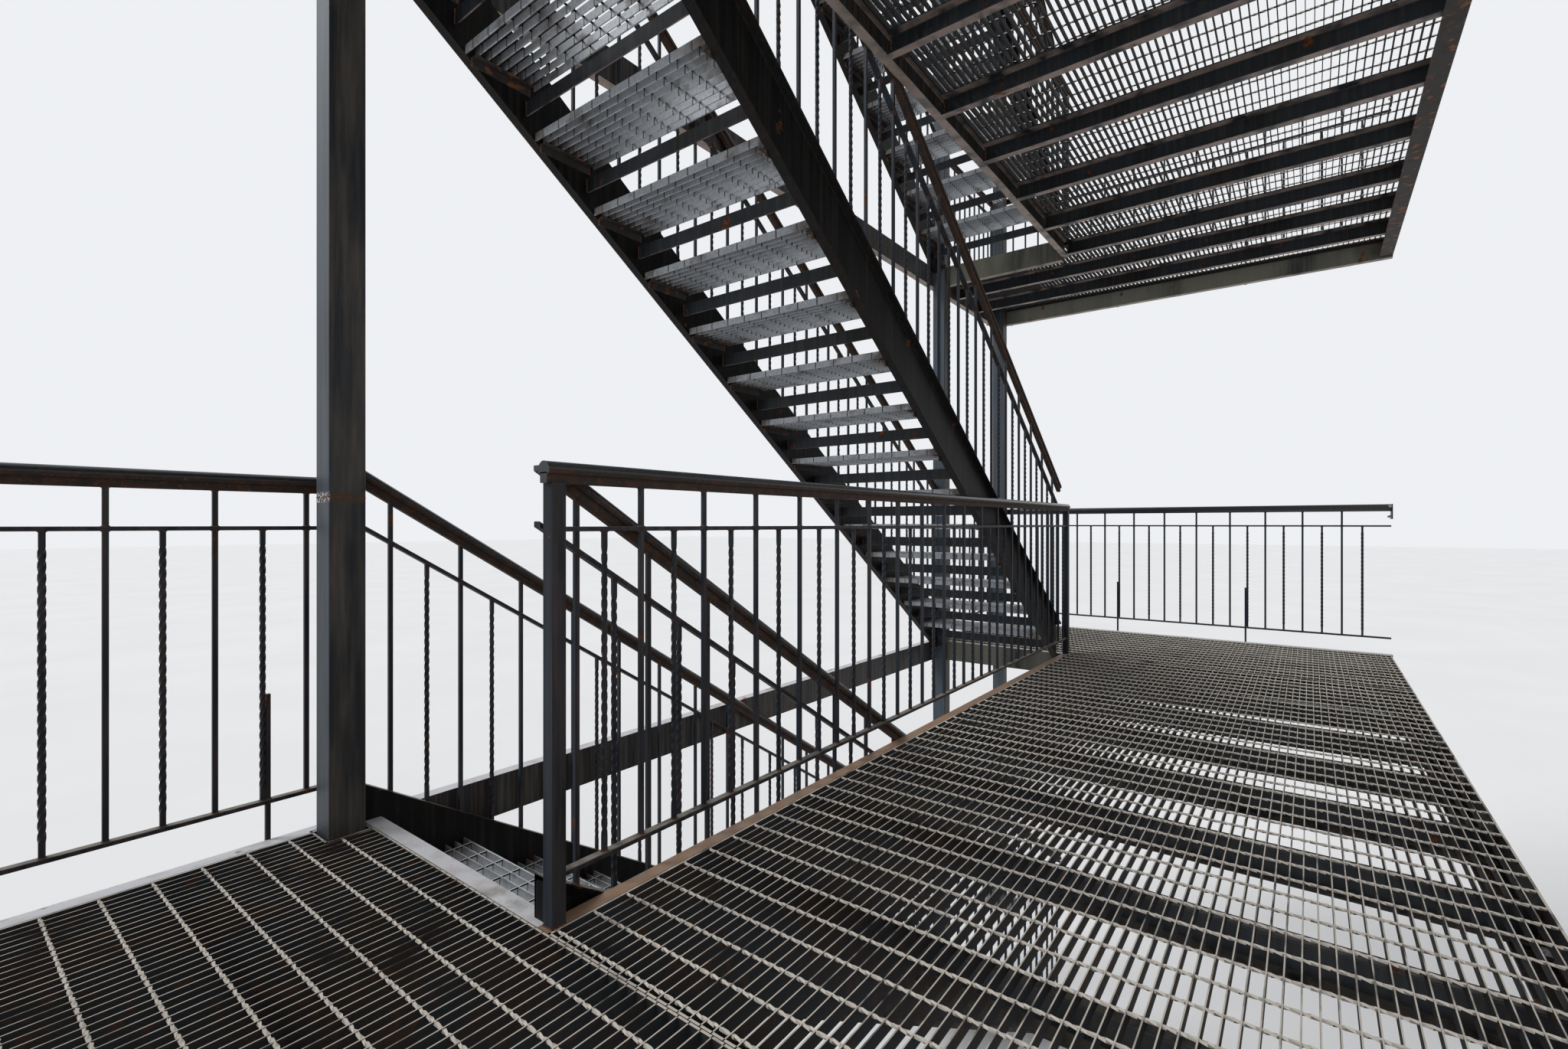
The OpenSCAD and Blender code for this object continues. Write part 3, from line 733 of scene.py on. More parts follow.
def dusty_rods(name):
    """Twisted cross rods of the floors: caked with beige dust, and brown-black underneath."""
    made = Finish(name)
    shades = colours()
    above = made.add("MapRange", (made.facing[2], -0.8, -0.4, 0.0, 1.0))
    caked = made.add("Math", (above, made.patches(0.05, 0.15, 0.30, 0.98)), operation="MULTIPLY")
    tone = made.coats(shades.paint_brown, (caked, shades.rod_dust))
    grit = made.patches(0.003, 0.3, 0.7, detail=3)
    return made.finish(tone, made.add("MapRange", (grit, 0.0, 1.0, 0.7, 0.9)), grit, 0.0003)


def rods_with_painted_shade(name):
    """Cross rods of the treads: near-black painted shade at the sides and below, and tops rubbed bright."""
    made = Finish(name)
    shades = colours()
    top = made.add("MapRange", (made.facing[2], 0.3, 0.6, 0.0, 1.0))
    # Near-black on the sides and below: painted shade
    tone = made.coats(shades.paint_deep, (top, shades.bare))
    roughness = made.add("MapRange", (top, 0.0, 1.0, 0.85, 0.5))
    return made.finish(tone, roughness, made.patches(0.003, 0.3, 0.7, detail=3), 0.0002, specular=0.2)


def tread_zinc(name):
    """Hot-dip galvanised steel gone dull: grey spangle 9 mm wide, brown dirt near the stringers, and
    near-black bands on the load bars at every cross rod."""
    made = Finish(name)
    shades = colours()
    sizes = lattice()
    cells = made.add("Mapping", {"Vector": made.place, "Scale": [1 / 0.009] * 3})
    spangle = add_node(made.tree, "TexVoronoi", {"Vector": cells, "Scale": 1.0}).outputs["Color"]
    dulled = made.add("MapRange", (made.add("SeparateColor", [spangle]), 0.0, 1.0, 0.0, 0.28))
    from_outer = made.add("Math", (made.position[1], OUTER_BACK), operation="SUBTRACT")
    to_inner = made.add("Math", (INNER_BACK, made.position[1]), operation="SUBTRACT")
    edge = made.add("Math", (from_outer, to_inner), operation="MINIMUM")
    near_end = made.add("MapRange", (edge, 0.0, 0.14, 1.0, 0.0))
    ends = made.add("Math", (near_end, made.patches(0.05, 0.30, 0.55)), operation="MULTIPLY")
    dirt = made.add("Math", (ends, made.patches(0.10, 0.56, 0.72, 0.7, detail=8)), operation="MAXIMUM")
    # Distance to the nearest cross rod, in rod pitches
    half = sizes.tread_rods / 2
    first = sizes.first_tread_rod
    along = made.add("MapRange", (from_outer, first - half, first + half, 0.0, 1.0), clamp=False)
    share = made.add("Math", [along], operation="FRACT")
    away = made.add("Math", (share, 0.5), operation="SUBTRACT")
    size = made.add("Math", [away], operation="ABSOLUTE")
    near = made.add("MapRange", (size, 0.02, 0.04, 1.0, 0.0))
    # Near-black bands on the load bars where the cross rods cross them
    dark_at_rods = made.add("Math", (near, made.patches(0.03, 0.30, 0.40, 0.95)), operation="MULTIPLY")
    up = made.add("MapRange", (made.facing[2], 0.75, 0.95, 0.0, 1.0))
    top = made.add("Math", (up, made.patches(0.10, 0.25, 0.45, 0.95)), operation="MULTIPLY")
    colour = made.coats(
        shades.zinc, (dulled, shades.faded_and_lit_paint), (dark_at_rods, shades.paint_deep), (top, shades.bare),
        (dirt, shades.zinc_dirt))
    roughness = made.add("MapRange", (dirt, 0.0, 1.0, 0.46, 0.85))
    metallic = made.add("MapRange", (dirt, 0.0, 1.0, 0.25, 0.0))
    return made.finish(colour, roughness, made.patches(0.002, 0.3, 0.7, detail=3), 0.0002, metallic)


def dusty_ledger(name):
    """Oil paint on the angle under the joists' ends: gone dark brown with dust, and rusty in spots."""
    made = Finish(name)
    shades = colours()
    colour = made.coats(
        shades.ledger, (made.patches(0.05, 0.42, 0.62, 0.8, stretch=(1, 1, 3)), shades.paint_brown),
        (made.patches(0.04, 0.58, 0.66, 0.85, detail=8), shades.rust_bright))
    grit = made.patches(0.004, 0.3, 0.7, detail=3)
    return made.finish(colour, made.add("MapRange", (grit, 0.0, 1.0, 0.7, 0.85)), grit, 0.0004)


def rusty_weld(name):
    """Weld metal that nobody painted: dark scale with orange rust in the ripples."""
    made = Finish(name)
    shades = colours()
    tone = made.coats(
        shades.rust, (made.patches(0.006, 0.45, 0.60), shades.rust_bright),
        (made.patches(0.020, 0.52, 0.64, 0.8), shades.paint_brown))
    pits = made.patches(0.0025, 0.35, 0.65, detail=3)
    return made.finish(tone, made.add("MapRange", (pits, 0.0, 1.0, 0.6, 0.85)), pits, 0.0004)


def zinc_bolt(name):
    """Zinc plated bolt, dulled by weather, with rust at the thread."""
    made = Finish(name)
    shades = colours()
    rusting = made.patches(0.008, 0.52, 0.62, 0.85, detail=6)
    colour = made.coats(shades.zinc, (rusting, shades.rust_bright))
    roughness = made.add("MapRange", (rusting, 0.0, 1.0, 0.4, 0.85))
    metallic = made.add("MapRange", (rusting, 0.0, 1.0, 0.85, 0.0))
    return made.finish(colour, roughness, made.patches(0.001, 0.3, 0.7, detail=2), 0.0001, metallic)


FINISHES = {
    "post_oil_paint": post_paint,
    "joist_oil_paint": joist_paint,
    "beam_oil_paint": beam_paint,
    "well_beam_oil_paint": well_beam_paint,
    "stringer_oil_paint": stringer_paint,
    "rail_oil_paint": rail_paint,
    "rusted_cap_paint": cap_paint,
    "worn_grating_steel": worn_lattice,
    "dusty_rod_steel": dusty_rods,
    "rod_steel_with_painted_shade": rods_with_painted_shade,
    "galvanised_tread_steel": tread_zinc,
    "dusty_ledger_paint": dusty_ledger,
    "rusty_weld_metal": rusty_weld,
    "zinc_plated_bolt": zinc_bolt,
}


def finish(name):
    """The named finish, made when it is first asked for."""
    return bpy.data.materials.get(name) or FINISHES[name](name)


def coat_nodes(nodes, name):
    """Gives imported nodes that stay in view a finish."""
    for node in nodes:
        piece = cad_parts[node]
        for slot in piece.material_slots:
            slot.material = finish(name)


# Pieces

def fastener(across):
    """Hexagon nut on a stud along +Z, with a washer."""
    washer, nut, stud, point = across * 0.12, across * 0.8, across * 1.1, 0.002
    work = Steelwork()
    disc = arc(0, 0, across * 0.95, 0, 345, 23)
    work.add(stack(disc, [(0, 1), (washer * 0.8, 1), (washer, 0.97)]))
    hexagon = arc(0, 0, across / math.sqrt(3), 0, 300, 5)
    rings = [(0, 0.93), (nut * 0.1, 1), (nut * 0.9, 1), (nut, 0.9)]
    work.add(stack(hexagon, [(washer + z, scale) for z, scale in rings]))
    round_bar = arc(0, 0, across * 0.32, 0, 330, 11)
    work.add(stack(round_bar, [(washer, 1), (washer + stud - point, 1), (washer + stud, 0.8)]))
    return work


def weld_round(work, x, y, z, half, radius, finish_number):
    """Weld beads round a square post at one height."""
    corners = [(x + sx * half, y + sy * half, z) for sx, sy in ((-1, -1), (1, -1), (1, 1), (-1, 1))]
    for i in range(4):
        work.add(bead(corners[i], corners[(i + 1) % 4], radius), finish_number)


def make_posts():
    """Square tubes with rounded corners, and the welds that they carry."""
    coat_nodes(("base_plates",), "post_oil_paint")
    tube = eased(POST_W, POST_W, rolled().tube_round, 3)
    for node, x in zip(POSTS, POST_X):
        low, high = (corner.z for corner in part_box(node))
        post = Steelwork()
        post.add(stack(tube, [(low, 1), (high, 1)]), 0, [(x, 0, 0)])
        post.make(f"{node}_tube", ["post_oil_paint"], "posts", [node])
    sizes, work = joins(), Steelwork()
    ring = HALF_POST - sizes.sink
    for x in POST_X:
        weld_round(work, x, 0, POST_FOOT, ring, sizes.bead, 0)
        for level in LEVELS[:-1]:
            weld_round(work, x, 0, FLOOR_Z[level] + sizes.splice_height, ring, sizes.splice_bead, 0)
        for level in LEVELS:
            top = FLOOR_Z[level] - sizes.flange_gap
            low = FLOOR_Z[level] - rolled().beam_depth + sizes.flange_gap
            for side in (-1, 1):
                corner = x + side * (HALF_POST - sizes.bead)
                work.add(bead((corner, EDGE_Y, low), (corner, EDGE_Y, top), sizes.bead), 0)
    work.make("post_welds", ["rusty_weld_metal"], "posts")


def make_base_anchors():
    """Anchors with nuts and washers in the holes of the base plates."""
    half = joins().anchor_gap / 2
    work, nut = Steelwork(), fastener(joins().nut_across)
    for x in POST_X:
        for sx in (-1, 1):
            for sy in (-1, 1):
                work.take(nut, Matrix.Translation((x + sx * half, sy * half, POST_FOOT)))
    work.make("base_plate_anchors", ["zinc_plated_bolt"], "posts")


def make_long_beams(level):
    """Edge beam, well beam and ledger angle of a platform, with the anchors of the ledger."""
    sizes, work = rolled(), Steelwork()
    floor = FLOOR_Z[level]
    edge = channel(sizes.beam_depth, sizes.beam_flange, side=-1)
    work.add(along_x(edge, FAR_EDGE - sizes.beam_flange, NEAR_EDGE + sizes.beam_flange, EDGE_Y, floor))
    well = channel(sizes.well_depth, sizes.well_flange)
    work.add(along_x(well, FOOT_EDGE - sizes.beam_flange, HEAD_X + sizes.beam_flange, WELL_Y, floor), 3)
    top, thick = floor - GRATING_DEPTH, sizes.flange
    ledger = angle_iron(sizes.ledger_leg, sizes.joist_depth + thick, thick, sizes.toe_round)
    upright = [(u - sizes.ledger_leg, -sizes.joist_depth - thick - v) for u, v in ledger]
    work.add(along_x(upright, FAR_EDGE, NEAR_EDGE, BACK_Y, top), 1)
    nut = fastener(joins().nut_across)
    reach = (NEAR_EDGE - FAR_EDGE) / (2 * ANCHOR_PAIRS)
    face = BACK_Y - thick
    for k in range(-ANCHOR_PAIRS, ANCHOR_PAIRS):
        x = (NEAR_EDGE + FAR_EDGE) / 2 + (k + 0.5) * reach
        place = Matrix.Translation((x, face, top - joins().ledger_anchor_drop))
        first = len(work.faces)
        work.take(nut, place @ Matrix.Rotation(math.radians(90), 4, "X"))
        work.finishes[first:] = [2] * (len(work.faces) - first)
    work.make(f"level_{level}_rolled_long_beams",
              ["beam_oil_paint", "dusty_ledger_paint", "zinc_plated_bolt", "well_beam_oil_paint"],
              "framing", [f"level_{level}_long_beams"])


def make_cross_beams(level):
    """End beams and headers of a platform, with the welds at their ends."""
    sizes, work = rolled(), Steelwork()
    top, inset = FLOOR_Z[level], joins().bead / 2
    low = top - sizes.beam_depth + sizes.flange
    for x, side, start, end in (
            (NEAR_EDGE, 1, EDGE_Y, BACK_Y), (FAR_EDGE, -1, EDGE_Y, BACK_Y),
            (HEAD_X, 1, EDGE_Y, WELL_Y), (FOOT_EDGE, -1, HALF_POST, WELL_Y)):
        work.add(along_y(channel(sizes.beam_depth, sizes.beam_flange, side), x, start, end, top))
        web = x + side * sizes.web
        for y in [start + inset] + [end - inset] * (end < BACK_Y):
            work.add(bead((web, y, low), (web, y, top - sizes.flange), joins().bead), 1)
    work.make(f"level_{level}_rolled_cross_beams", ["beam_oil_paint", "rusty_weld_metal"], "framing",
              [f"level_{level}_cross_beams"])


def joist_lines():
    """Place along X and start along Y of each joist."""
    well_step = (HEAD_X - FOOT_EDGE) / WELL_BAYS
    near_step = (NEAR_EDGE - HEAD_X) / LANDING_BAYS
    far_step = (FOOT_EDGE - FAR_EDGE) / LANDING_BAYS
    lines = [(FOOT_EDGE + k * well_step, WALK_Y) for k in range(WELL_BAYS + 1)]
    for k in range(1, LANDING_BAYS):
        lines += [(HEAD_X + k * near_step, EDGE_Y), (FAR_EDGE + k * far_step, EDGE_Y)]
    return lines


def make_joists(level):
    """Joists of a platform, welded to the beams and to the ledger angle."""
    sizes, work = rolled(), Steelwork()
    top = FLOOR_Z[level] - GRATING_DEPTH
    end = BACK_Y - sizes.flange
    bottom = top - sizes.joist_depth
    for x, start in joist_lines():
        work.add(along_y(channel(sizes.joist_depth, sizes.joist_flange), x, start, end, top))
        web = x + sizes.web
        for y in (start + joins().bead / 2, end - joins().bead / 2):
            work.add(bead((web, y, bottom + sizes.flange), (web, y, top - sizes.flange), joins().bead), 1)
    work.make(f"level_{level}_rolled_joists", ["joist_oil_paint", "rusty_weld_metal"], "framing",
              [f"level_{level}_joists"])


def spans_without(start, end, gaps):
    """The stretches of a line that lie outside the gaps."""
    spans, at = [], start
    for low, high in sorted(gaps):
        if low - at > SEAM:
            spans.append((at, low))
        at = max(at, high)
    if end - at > SEAM:
        spans.append((at, end))
    return spans


def floor_lattice(low, high, first_rod, notches):
    """Bar grating between two corners: load bars along X, twisted rods along Y, and a band round it."""
    sizes, work = lattice(), Steelwork()
    band, thick, rod = sizes.band, sizes.bar_thick, sizes.rod_side
    top = high.z
    holes = [n for n in notches if n[0] < high.x and n[1] > low.x and n[2] < high.y and n[3] > low.y]
    count = round((high.y - low.y - band) / sizes.bar_pitch)
    pitch = (high.y - low.y - band) / count
    for k in range(count + 1):
        y = low.y + band / 2 + k * pitch
        half = band / 2 if k in (0, count) else thick / 2
        gaps = [(n[0], n[1]) for n in holes if n[2] < y + half and n[3] > y - half]
        for x0, x1 in spans_without(low.x, high.x, gaps):
            work.add(block((x0, y - half, low.z), (x1, y + half, top)))
    for x in (low.x + band / 2, high.x - band / 2):
        gaps = [(n[2], n[3]) for n in holes if n[0] < x + band / 2 and n[1] > x - band / 2]
        for y0, y1 in spans_without(low.y, high.y, gaps):
            work.add(block((x - band / 2, y0, low.z), (x + band / 2, y1, top)))
    for n in holes:
        for x in (n[0] - band / 2, n[1] + band / 2):
            work.add(block((x - band / 2, n[2] - band, low.z), (x + band / 2, min(n[3] + band, high.y), top)))
        for y in (n[2] - band / 2, n[3] + band / 2):
            work.add(block((n[0] - band, y - band / 2, low.z), (min(n[1] + band, high.x), y + band / 2, top)))
    turn = Matrix.Rotation(math.radians(-90), 4, "X")
    square = [(-rod / 2, -rod / 2), (rod / 2, -rod / 2), (rod / 2, rod / 2), (-rod / 2, rod / 2)]
    steps = int((high.x - low.x - first_rod - rod) / sizes.rod_pitch)
    for k in range(steps + 1):
        x = low.x + first_rod + k * sizes.rod_pitch
        gaps = [(n[2], n[3]) for n in holes if n[0] < x + rod and n[1] > x - rod]
        for y0, y1 in spans_without(low.y + band / 2, high.y - band / 2, gaps):
            form = moved(twisted_bar(square, y1 - y0, sizes.rod_turn, 0.0, 60), turn)
            work.add(form, 1, [(x, y0, top - rod * 0.5)])
    return work


def make_floor_gratings(level):
    """Gratings of a platform, let in between the headers and the beams."""
    sizes = lattice()
    reach = HALF_POST + sizes.notch
    notches = [(x - reach, x + reach, -reach, reach) for x in POST_X]
    far_length = extent(f"level_{level}_far_grating", 0)
    far_rod = (far_length - sizes.first_rod) % sizes.rod_pitch
    for place, first_rod in (("near", sizes.first_rod), ("walk", sizes.rod_pitch / 2), ("far", far_rod)):
        low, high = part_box(f"level_{level}_{place}_grating")
        work = floor_lattice(low, high, first_rod, notches)
        work.make(f"level_{level}_{place}_floor_lattice", ["worn_grating_steel", "dusty_rod_steel"],
                  "floor_grating", [f"level_{level}_{place}_grating"])


def collar(side, leg):
    """Small weld round a bar that stands on z = 0."""
    half = side / 2
    outline = eased(side, side, side * 0.12, 1)
    wide, snug = (half + leg) / half, 1.02
    return stack(outline, [(-leg / 3, wide), (0, wide), (leg, snug)])


def cap_rail(x0, x1, height, tilt=1.0, cuts=()):
    """Moulded cap rail along +X, mitred by cuts, each a point and a direction."""
    work = Steelwork()
    for outline in (dome(), stem()):
        form = along_x([(u, v * tilt) for u, v in outline], x0, x1, 0, height)
        for point, normal in cuts:
            form = cut(form, point, normal)
        work.add(form, 1)
    return work


def guard(length, stations, height=RAIL_HEIGHT, bottom=None, tilt=1.0, reach=(0.0, 0.0), cuts=()):
    """One guard along +X with its floor at z = 0. Stations hold the place of each baluster and
    whether it is tall. With no bottom rail the balusters stand on a stringer of that height.
    The cap rail goes on past the ends by a reach and is mitred by cuts."""
    sizes, work = guards(), Steelwork()
    side, leg = sizes.baluster, sizes.collar
    mid_top = height - sizes.mid_drop * tilt
    mid_low = mid_top - sizes.bar_thick * tilt
    cap_low = height - CAP_DEPTH * tilt
    work.take(cap_rail(-reach[0], length + reach[1], height, tilt, cuts), Matrix.Identity(4))
    flat = eased(sizes.bar_width, sizes.bar_thick * tilt, sizes.rail_ease, 1)
    work.add(along_x(flat, 0, length, 0, (mid_low + mid_top) / 2), 0)
    stand = bottom
    if bottom is None:
        work.add(along_x(flat, 0, length, 0, sizes.bottom_gap + sizes.bar_thick / 2), 0)
        stand = sizes.bottom_gap + sizes.bar_thick
    short = [x for x, tall in stations if not tall]
    tall = [x for x, is_tall in stations if is_tall]
    foot = stand - sizes.bar_thick / 2 if bottom is None else stand
    plain_bar = stack(eased(side, side, sizes.bar_ease, 1), [(foot, 1), (cap_low + sizes.let_in, 1)])
    work.add(plain_bar, 0, [(x, 0, 0) for x in tall])
    soft = eased(side, side, sizes.soft, 1)
    twisted = twisted_bar(soft, mid_low + sizes.let_in - foot, sizes.turn, sizes.plain_end)
    work.add(twisted, 0, [(x, 0, foot) for x in short])
    up, down = collar(side, leg), moved(collar(side, leg), Matrix.Scale(-1, 4, (0, 0, 1)))
    work.add(up, 2, [(x, 0, stand) for x, _ in stations])
    work.add(up, 2, [(x, 0, mid_top) for x in tall])
    work.add(down, 2, [(x, 0, mid_low) for x, _ in stations])
    work.add(down, 2, [(x, 0, cap_low) for x in tall])
    return work


def legs(stations, every):
    """Legs of a guard, each welded to the side of a short baluster and to the toes of a beam."""
    sizes, work = guards(), Steelwork()
    side, radius, drop = sizes.baluster, joins().leg_bead, rolled().beam_depth
    places = [(x - side, 0, 0) for k, (x, _) in enumerate(stations) if k % every == 1]
    work.add(stack(eased(side, side, sizes.bar_ease, 1), [(-drop, 1), (sizes.leg_height, 1)]), 0, places)
    rail_top = sizes.bottom_gap + sizes.bar_thick
    work.add(collar(side, sizes.collar), 2, [(x, y, rail_top) for x, y, _ in places])
    for y in (-side / 2, side / 2):
        low, high = sizes.leg_height - joins().leg_weld, sizes.leg_height
        work.add(bead((side / 2, y, low), (side / 2, y, high), radius), 2, places)
    for z in (0, -drop + rolled().flange):
        for x in (-side / 2, side / 2):
            work.add(bead((x, side / 2, z - rolled().flange), (x, side / 2, z - SEAM), radius), 2, places)
    return work


def alternating(first, pitch, length, tall_first=True):
    """Stations of balusters from the first one on, tall and short in turn."""
    last = math.floor((length - first - pitch / 2) / pitch)
    return [(first + k * pitch, (k % 2 == 0) == tall_first) for k in range(last + 1)]


def newel(side):
    """Small square post up to the cap rail."""
    return stack(eased(side, side, guards().rail_ease, 2), [(0, 1), (RAIL_HEIGHT - CAP_DEPTH + SEAM, 1)])


GUARD_FINISHES = ["rail_oil_paint", "rusted_cap_paint", "rusty_weld_metal", "zinc_plated_bolt"]


def at(x, y, z, turn=0.0):
    """Place of a guard, turned about its upright."""
    return Matrix.Translation((x, y, z)) @ Matrix.Rotation(math.radians(turn), 4, "Z")


def make_outer_guards(level):
    """Guards on the outer edge of the landings, outside the posts, with a mitre at the corner."""
    sizes, work = guards(), Steelwork()
    corner = HALF_POST + POST_X[0] - POST_X[1] + GUARD_OUT
    half_cap = CAP_WIDTH / 2
    stations = alternating(sizes.edge_first, sizes.edge_pitch, corner + half_cap)
    bay = guard(corner, stations, reach=(0, half_cap), cuts=[((corner, 0, 0), (1, 1, 0))])
    bay.take(legs(stations, EDGE_LEGS), Matrix.Identity(4))
    bay.add(newel(CAP_WIDTH), 0, [(corner, 0, 0)])
    toe = GUARD_OUT - HALF_POST - rolled().beam_flange
    inner = (corner - half_cap, half_cap, 0)
    for end in ((corner - half_cap, toe, 0), (corner - toe, half_cap, 0)):
        bay.add(bead(inner, end, joins().fine_bead), 2)
    lug = eased(sizes.lug, sizes.bar_thick, sizes.rail_ease, 1)
    gap = GUARD_OUT - HALF_POST
    for low in (sizes.bottom_gap, RAIL_HEIGHT - sizes.mid_drop - sizes.bar_thick):
        bay.add(along_y(lug, HALF_POST, sizes.let_in, gap, low + sizes.bar_thick / 2), 0)
        for z in (low, low + sizes.bar_thick):
            ends = [(HALF_POST + s * (sizes.lug / 2 - SEAM), gap, z) for s in (-1, 1)]
            bay.add(bead(*ends, joins().fine_bead), 2)
    work.take(bay, at(POST_X[1] - HALF_POST, -GUARD_OUT, FLOOR_Z[level]))
    work.take(bay, at(POST_X[2] + HALF_POST, -GUARD_OUT, FLOOR_Z[level]) @ Matrix.Scale(-1, 4, (1, 0, 0)))
    work.make(f"level_{level}_forged_outer_guards", GUARD_FINISHES, "guard_rails",
              [f"level_{level}_outer_guards"])


def make_end_guards(level):
    """Guards from the corners of the outer guards to a plate that is bolted on at their far end."""
    sizes, work = guards(), Steelwork()
    side, thick = sizes.end_plate / 2, lattice().band
    start = CAP_WIDTH / 2 - GUARD_OUT
    span = BACK_Y - start - thick
    stations = alternating(sizes.pitch / 2, sizes.pitch, span)
    one = guard(span, stations, reach=(CAP_WIDTH, 0), cuts=[((-CAP_WIDTH / 2, 0, 0), (-1, 1, 0))])
    one.take(legs(stations, END_LEGS), Matrix.Identity(4))
    one.add(block((span, -side, RAIL_HEIGHT - 2 * side), (span + thick, side, RAIL_HEIGHT)), 0)
    nut = fastener(joins().small_nut)
    bolts = Steelwork()
    reach = side - sizes.bolt_inset
    away = Matrix.Rotation(math.radians(-90), 4, "Y")
    for sy in (-1, 1):
        for sz in (-1, 1):
            bolts.take(nut, at(span, sy * reach, RAIL_HEIGHT - side + sz * reach) @ away)
    bolts.finishes = [3] * len(bolts.faces)
    one.take(bolts, Matrix.Identity(4))
    work.take(one, at(POST_X[0] + GUARD_OUT, start, FLOOR_Z[level], 90))
    mirrored = at(POST_X[3] - GUARD_OUT, start, FLOOR_Z[level], 90) @ Matrix.Scale(-1, 4, (0, 1, 0))
    work.take(one, mirrored)
    work.make(f"level_{level}_forged_end_guards", GUARD_FINISHES, "guard_rails",
              [f"level_{level}_end_guards"])


def make_well_guard(level):
    """Guard along the stairwell between two newels that stand on the well beam."""
    sizes, work = guards(), Steelwork()
    start = FOOT_EDGE - rolled().beam_flange / 2
    span = HEAD_X + sizes.newel / 2 - start
    stations = alternating(sizes.well_first, sizes.well_pitch, span)
    stations.append((sizes.well_first - sizes.well_pitch, False))
    reach = CAP_WIDTH * 2 / 3
    work.take(guard(span, stations, reach=(reach, reach)), Matrix.Identity(4))
    for x in (0, span):
        work.add(newel(sizes.newel), 0, [(x, 0, 0)])
        weld_round(work, x, 0, 0, (sizes.newel - joins().sink) / 2, joins().fine_bead, 2)
    placed = Steelwork()
    placed.take(work, at(start, GUARD_Y, FLOOR_Z[level]))
    placed.make(f"level_{level}_forged_well_guard", GUARD_FINISHES, "guard_rails",
                [f"level_{level}_well_guard"])


def make_foot_guard(level):
    """Guard across the foot side of the top stairwell."""
    node = f"level_{level}_foot_guard"
    low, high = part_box(node)
    work, pitch = Steelwork(), guards().pitch
    span = high.y - low.y
    one = guard(span, alternating(pitch, pitch, span))
    work.take(one, at(middle(node, 0), low.y, FLOOR_Z[level], 90))
    work.make(f"level_{level}_forged_foot_guard", GUARD_FINISHES, "guard_rails", [node])


def stringer(flight, back, side, foot, top_x):
    """Rolled stringer with upright ends, sawn level at its foot, and a tongue over the header."""
    sizes = rolled()
    tilt = math.hypot(1, slope(flight))
    toe = side * (OUTER_BACK - STAIR_LOW)
    drop = sizes.stringer_depth * tilt
    section = channel(sizes.stringer_depth, abs(toe), side, tilt)
    plate = [(0, 0), (0, -drop), (toe, -drop), (toe, 0)]

    def length(outline, x0, x1):
        z0, z1 = (nosing_z(flight, x) + sizes.stringer_rise for x in (x0, x1))
        return along_x(outline, x0, x1, back, z0, z1)

    main = length(section, foot, HEAD_X)
    if flight == 1:
        main = cut(main, (0, 0, 0), (0, 0, -1))
    tongue = length(section, HEAD_X, top_x)
    closing = length(plate, top_x - sizes.web, top_x)
    return [main] + [cut(form, (0, 0, FLOOR_Z[flight]), (0, 0, -1)) for form in (tongue, closing)]


def make_stringers(flight):
    """Two stringers with the angles that carry the treads."""
    sizes, work = rolled(), Steelwork()
    outer = stringer(flight, OUTER_BACK, -1, OUTER_FOOT_X, -HALF_POST)
    for form in outer + stringer(flight, INNER_BACK, 1, FOOT_EDGE, INNER_STRINGER_HEAD_X):
        work.add(form)
    leg, thick = sizes.carrier_leg, sizes.carrier_thick
    inner = angle_iron(leg, leg, thick, thick * 0.6)
    margin = (RUN - sizes.carrier_length) / 2
    for k in range(1, RISERS):
        x = FOOT_X + (k - 1) * RUN + margin
        z = FLOOR_Z[flight - 1] + k * riser(flight) - GRATING_DEPTH
        work.add(along_x(inner, x, x + sizes.carrier_length, INNER_BACK - leg, z), 1)
        outer = [(leg - u, v) for u, v in inner]
        work.add(along_x(outer, x, x + sizes.carrier_length, OUTER_BACK, z), 1)
        for back, toward in ((OUTER_BACK, 1), (INNER_BACK, -1)):
            y = back + toward * thick * 0.6
            for end in (x, x + sizes.carrier_length):
                work.add(bead((end, y, z - leg), (end, y, z - thick), joins().fine_bead), 2)
    work.make(f"flight_{flight}_rolled_stringers",
              ["stringer_oil_paint", "dusty_ledger_paint", "rusty_weld_metal"], "framing",
              [f"flight_{flight}_stringers"])


def tread():
    """Bar grating tread with its nosing on x = 0 and its top on z = 0, from y = 0 on."""
    sizes, work = lattice(), Steelwork()
    low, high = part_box("flight_1_treads")
    width = high.y - low.y
    count = round((RUN - sizes.band) / sizes.tread_pitch)
    pitch = (RUN - sizes.band) / count
    for k in range(count + 1):
        thick = sizes.band if k in (0, count) else sizes.tread_bar
        outline = eased(thick, GRATING_DEPTH, sizes.ease, 1)
        work.add(along_y(outline, sizes.band / 2 + k * pitch, 0, width, -GRATING_DEPTH / 2))
    rods = round((width - 2 * sizes.first_tread_rod) / sizes.tread_rods)
    half, top = sizes.tread_rod / 2, -sizes.rod_below
    rod = block((SEAM, -half, top - sizes.tread_rod), (RUN - SEAM, half, top))
    work.add(rod, 1, [(0, sizes.first_tread_rod + k * sizes.tread_rods, 0) for k in range(rods + 1)])
    return work


def make_treads(flight):
    """Treads of a flight."""
    one, work = tread(), Steelwork()
    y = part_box(f"flight_{flight}_treads")[0].y
    for k in range(1, RISERS):
        work.take(one, at(FOOT_X + (k - 1) * RUN, y, FLOOR_Z[flight - 1] + k * riser(flight)))
    work.make(f"flight_{flight}_tread_lattices", ["galvanised_tread_steel", "rod_steel_with_painted_shade"],
              "galvanised_treads", [f"flight_{flight}_treads"])


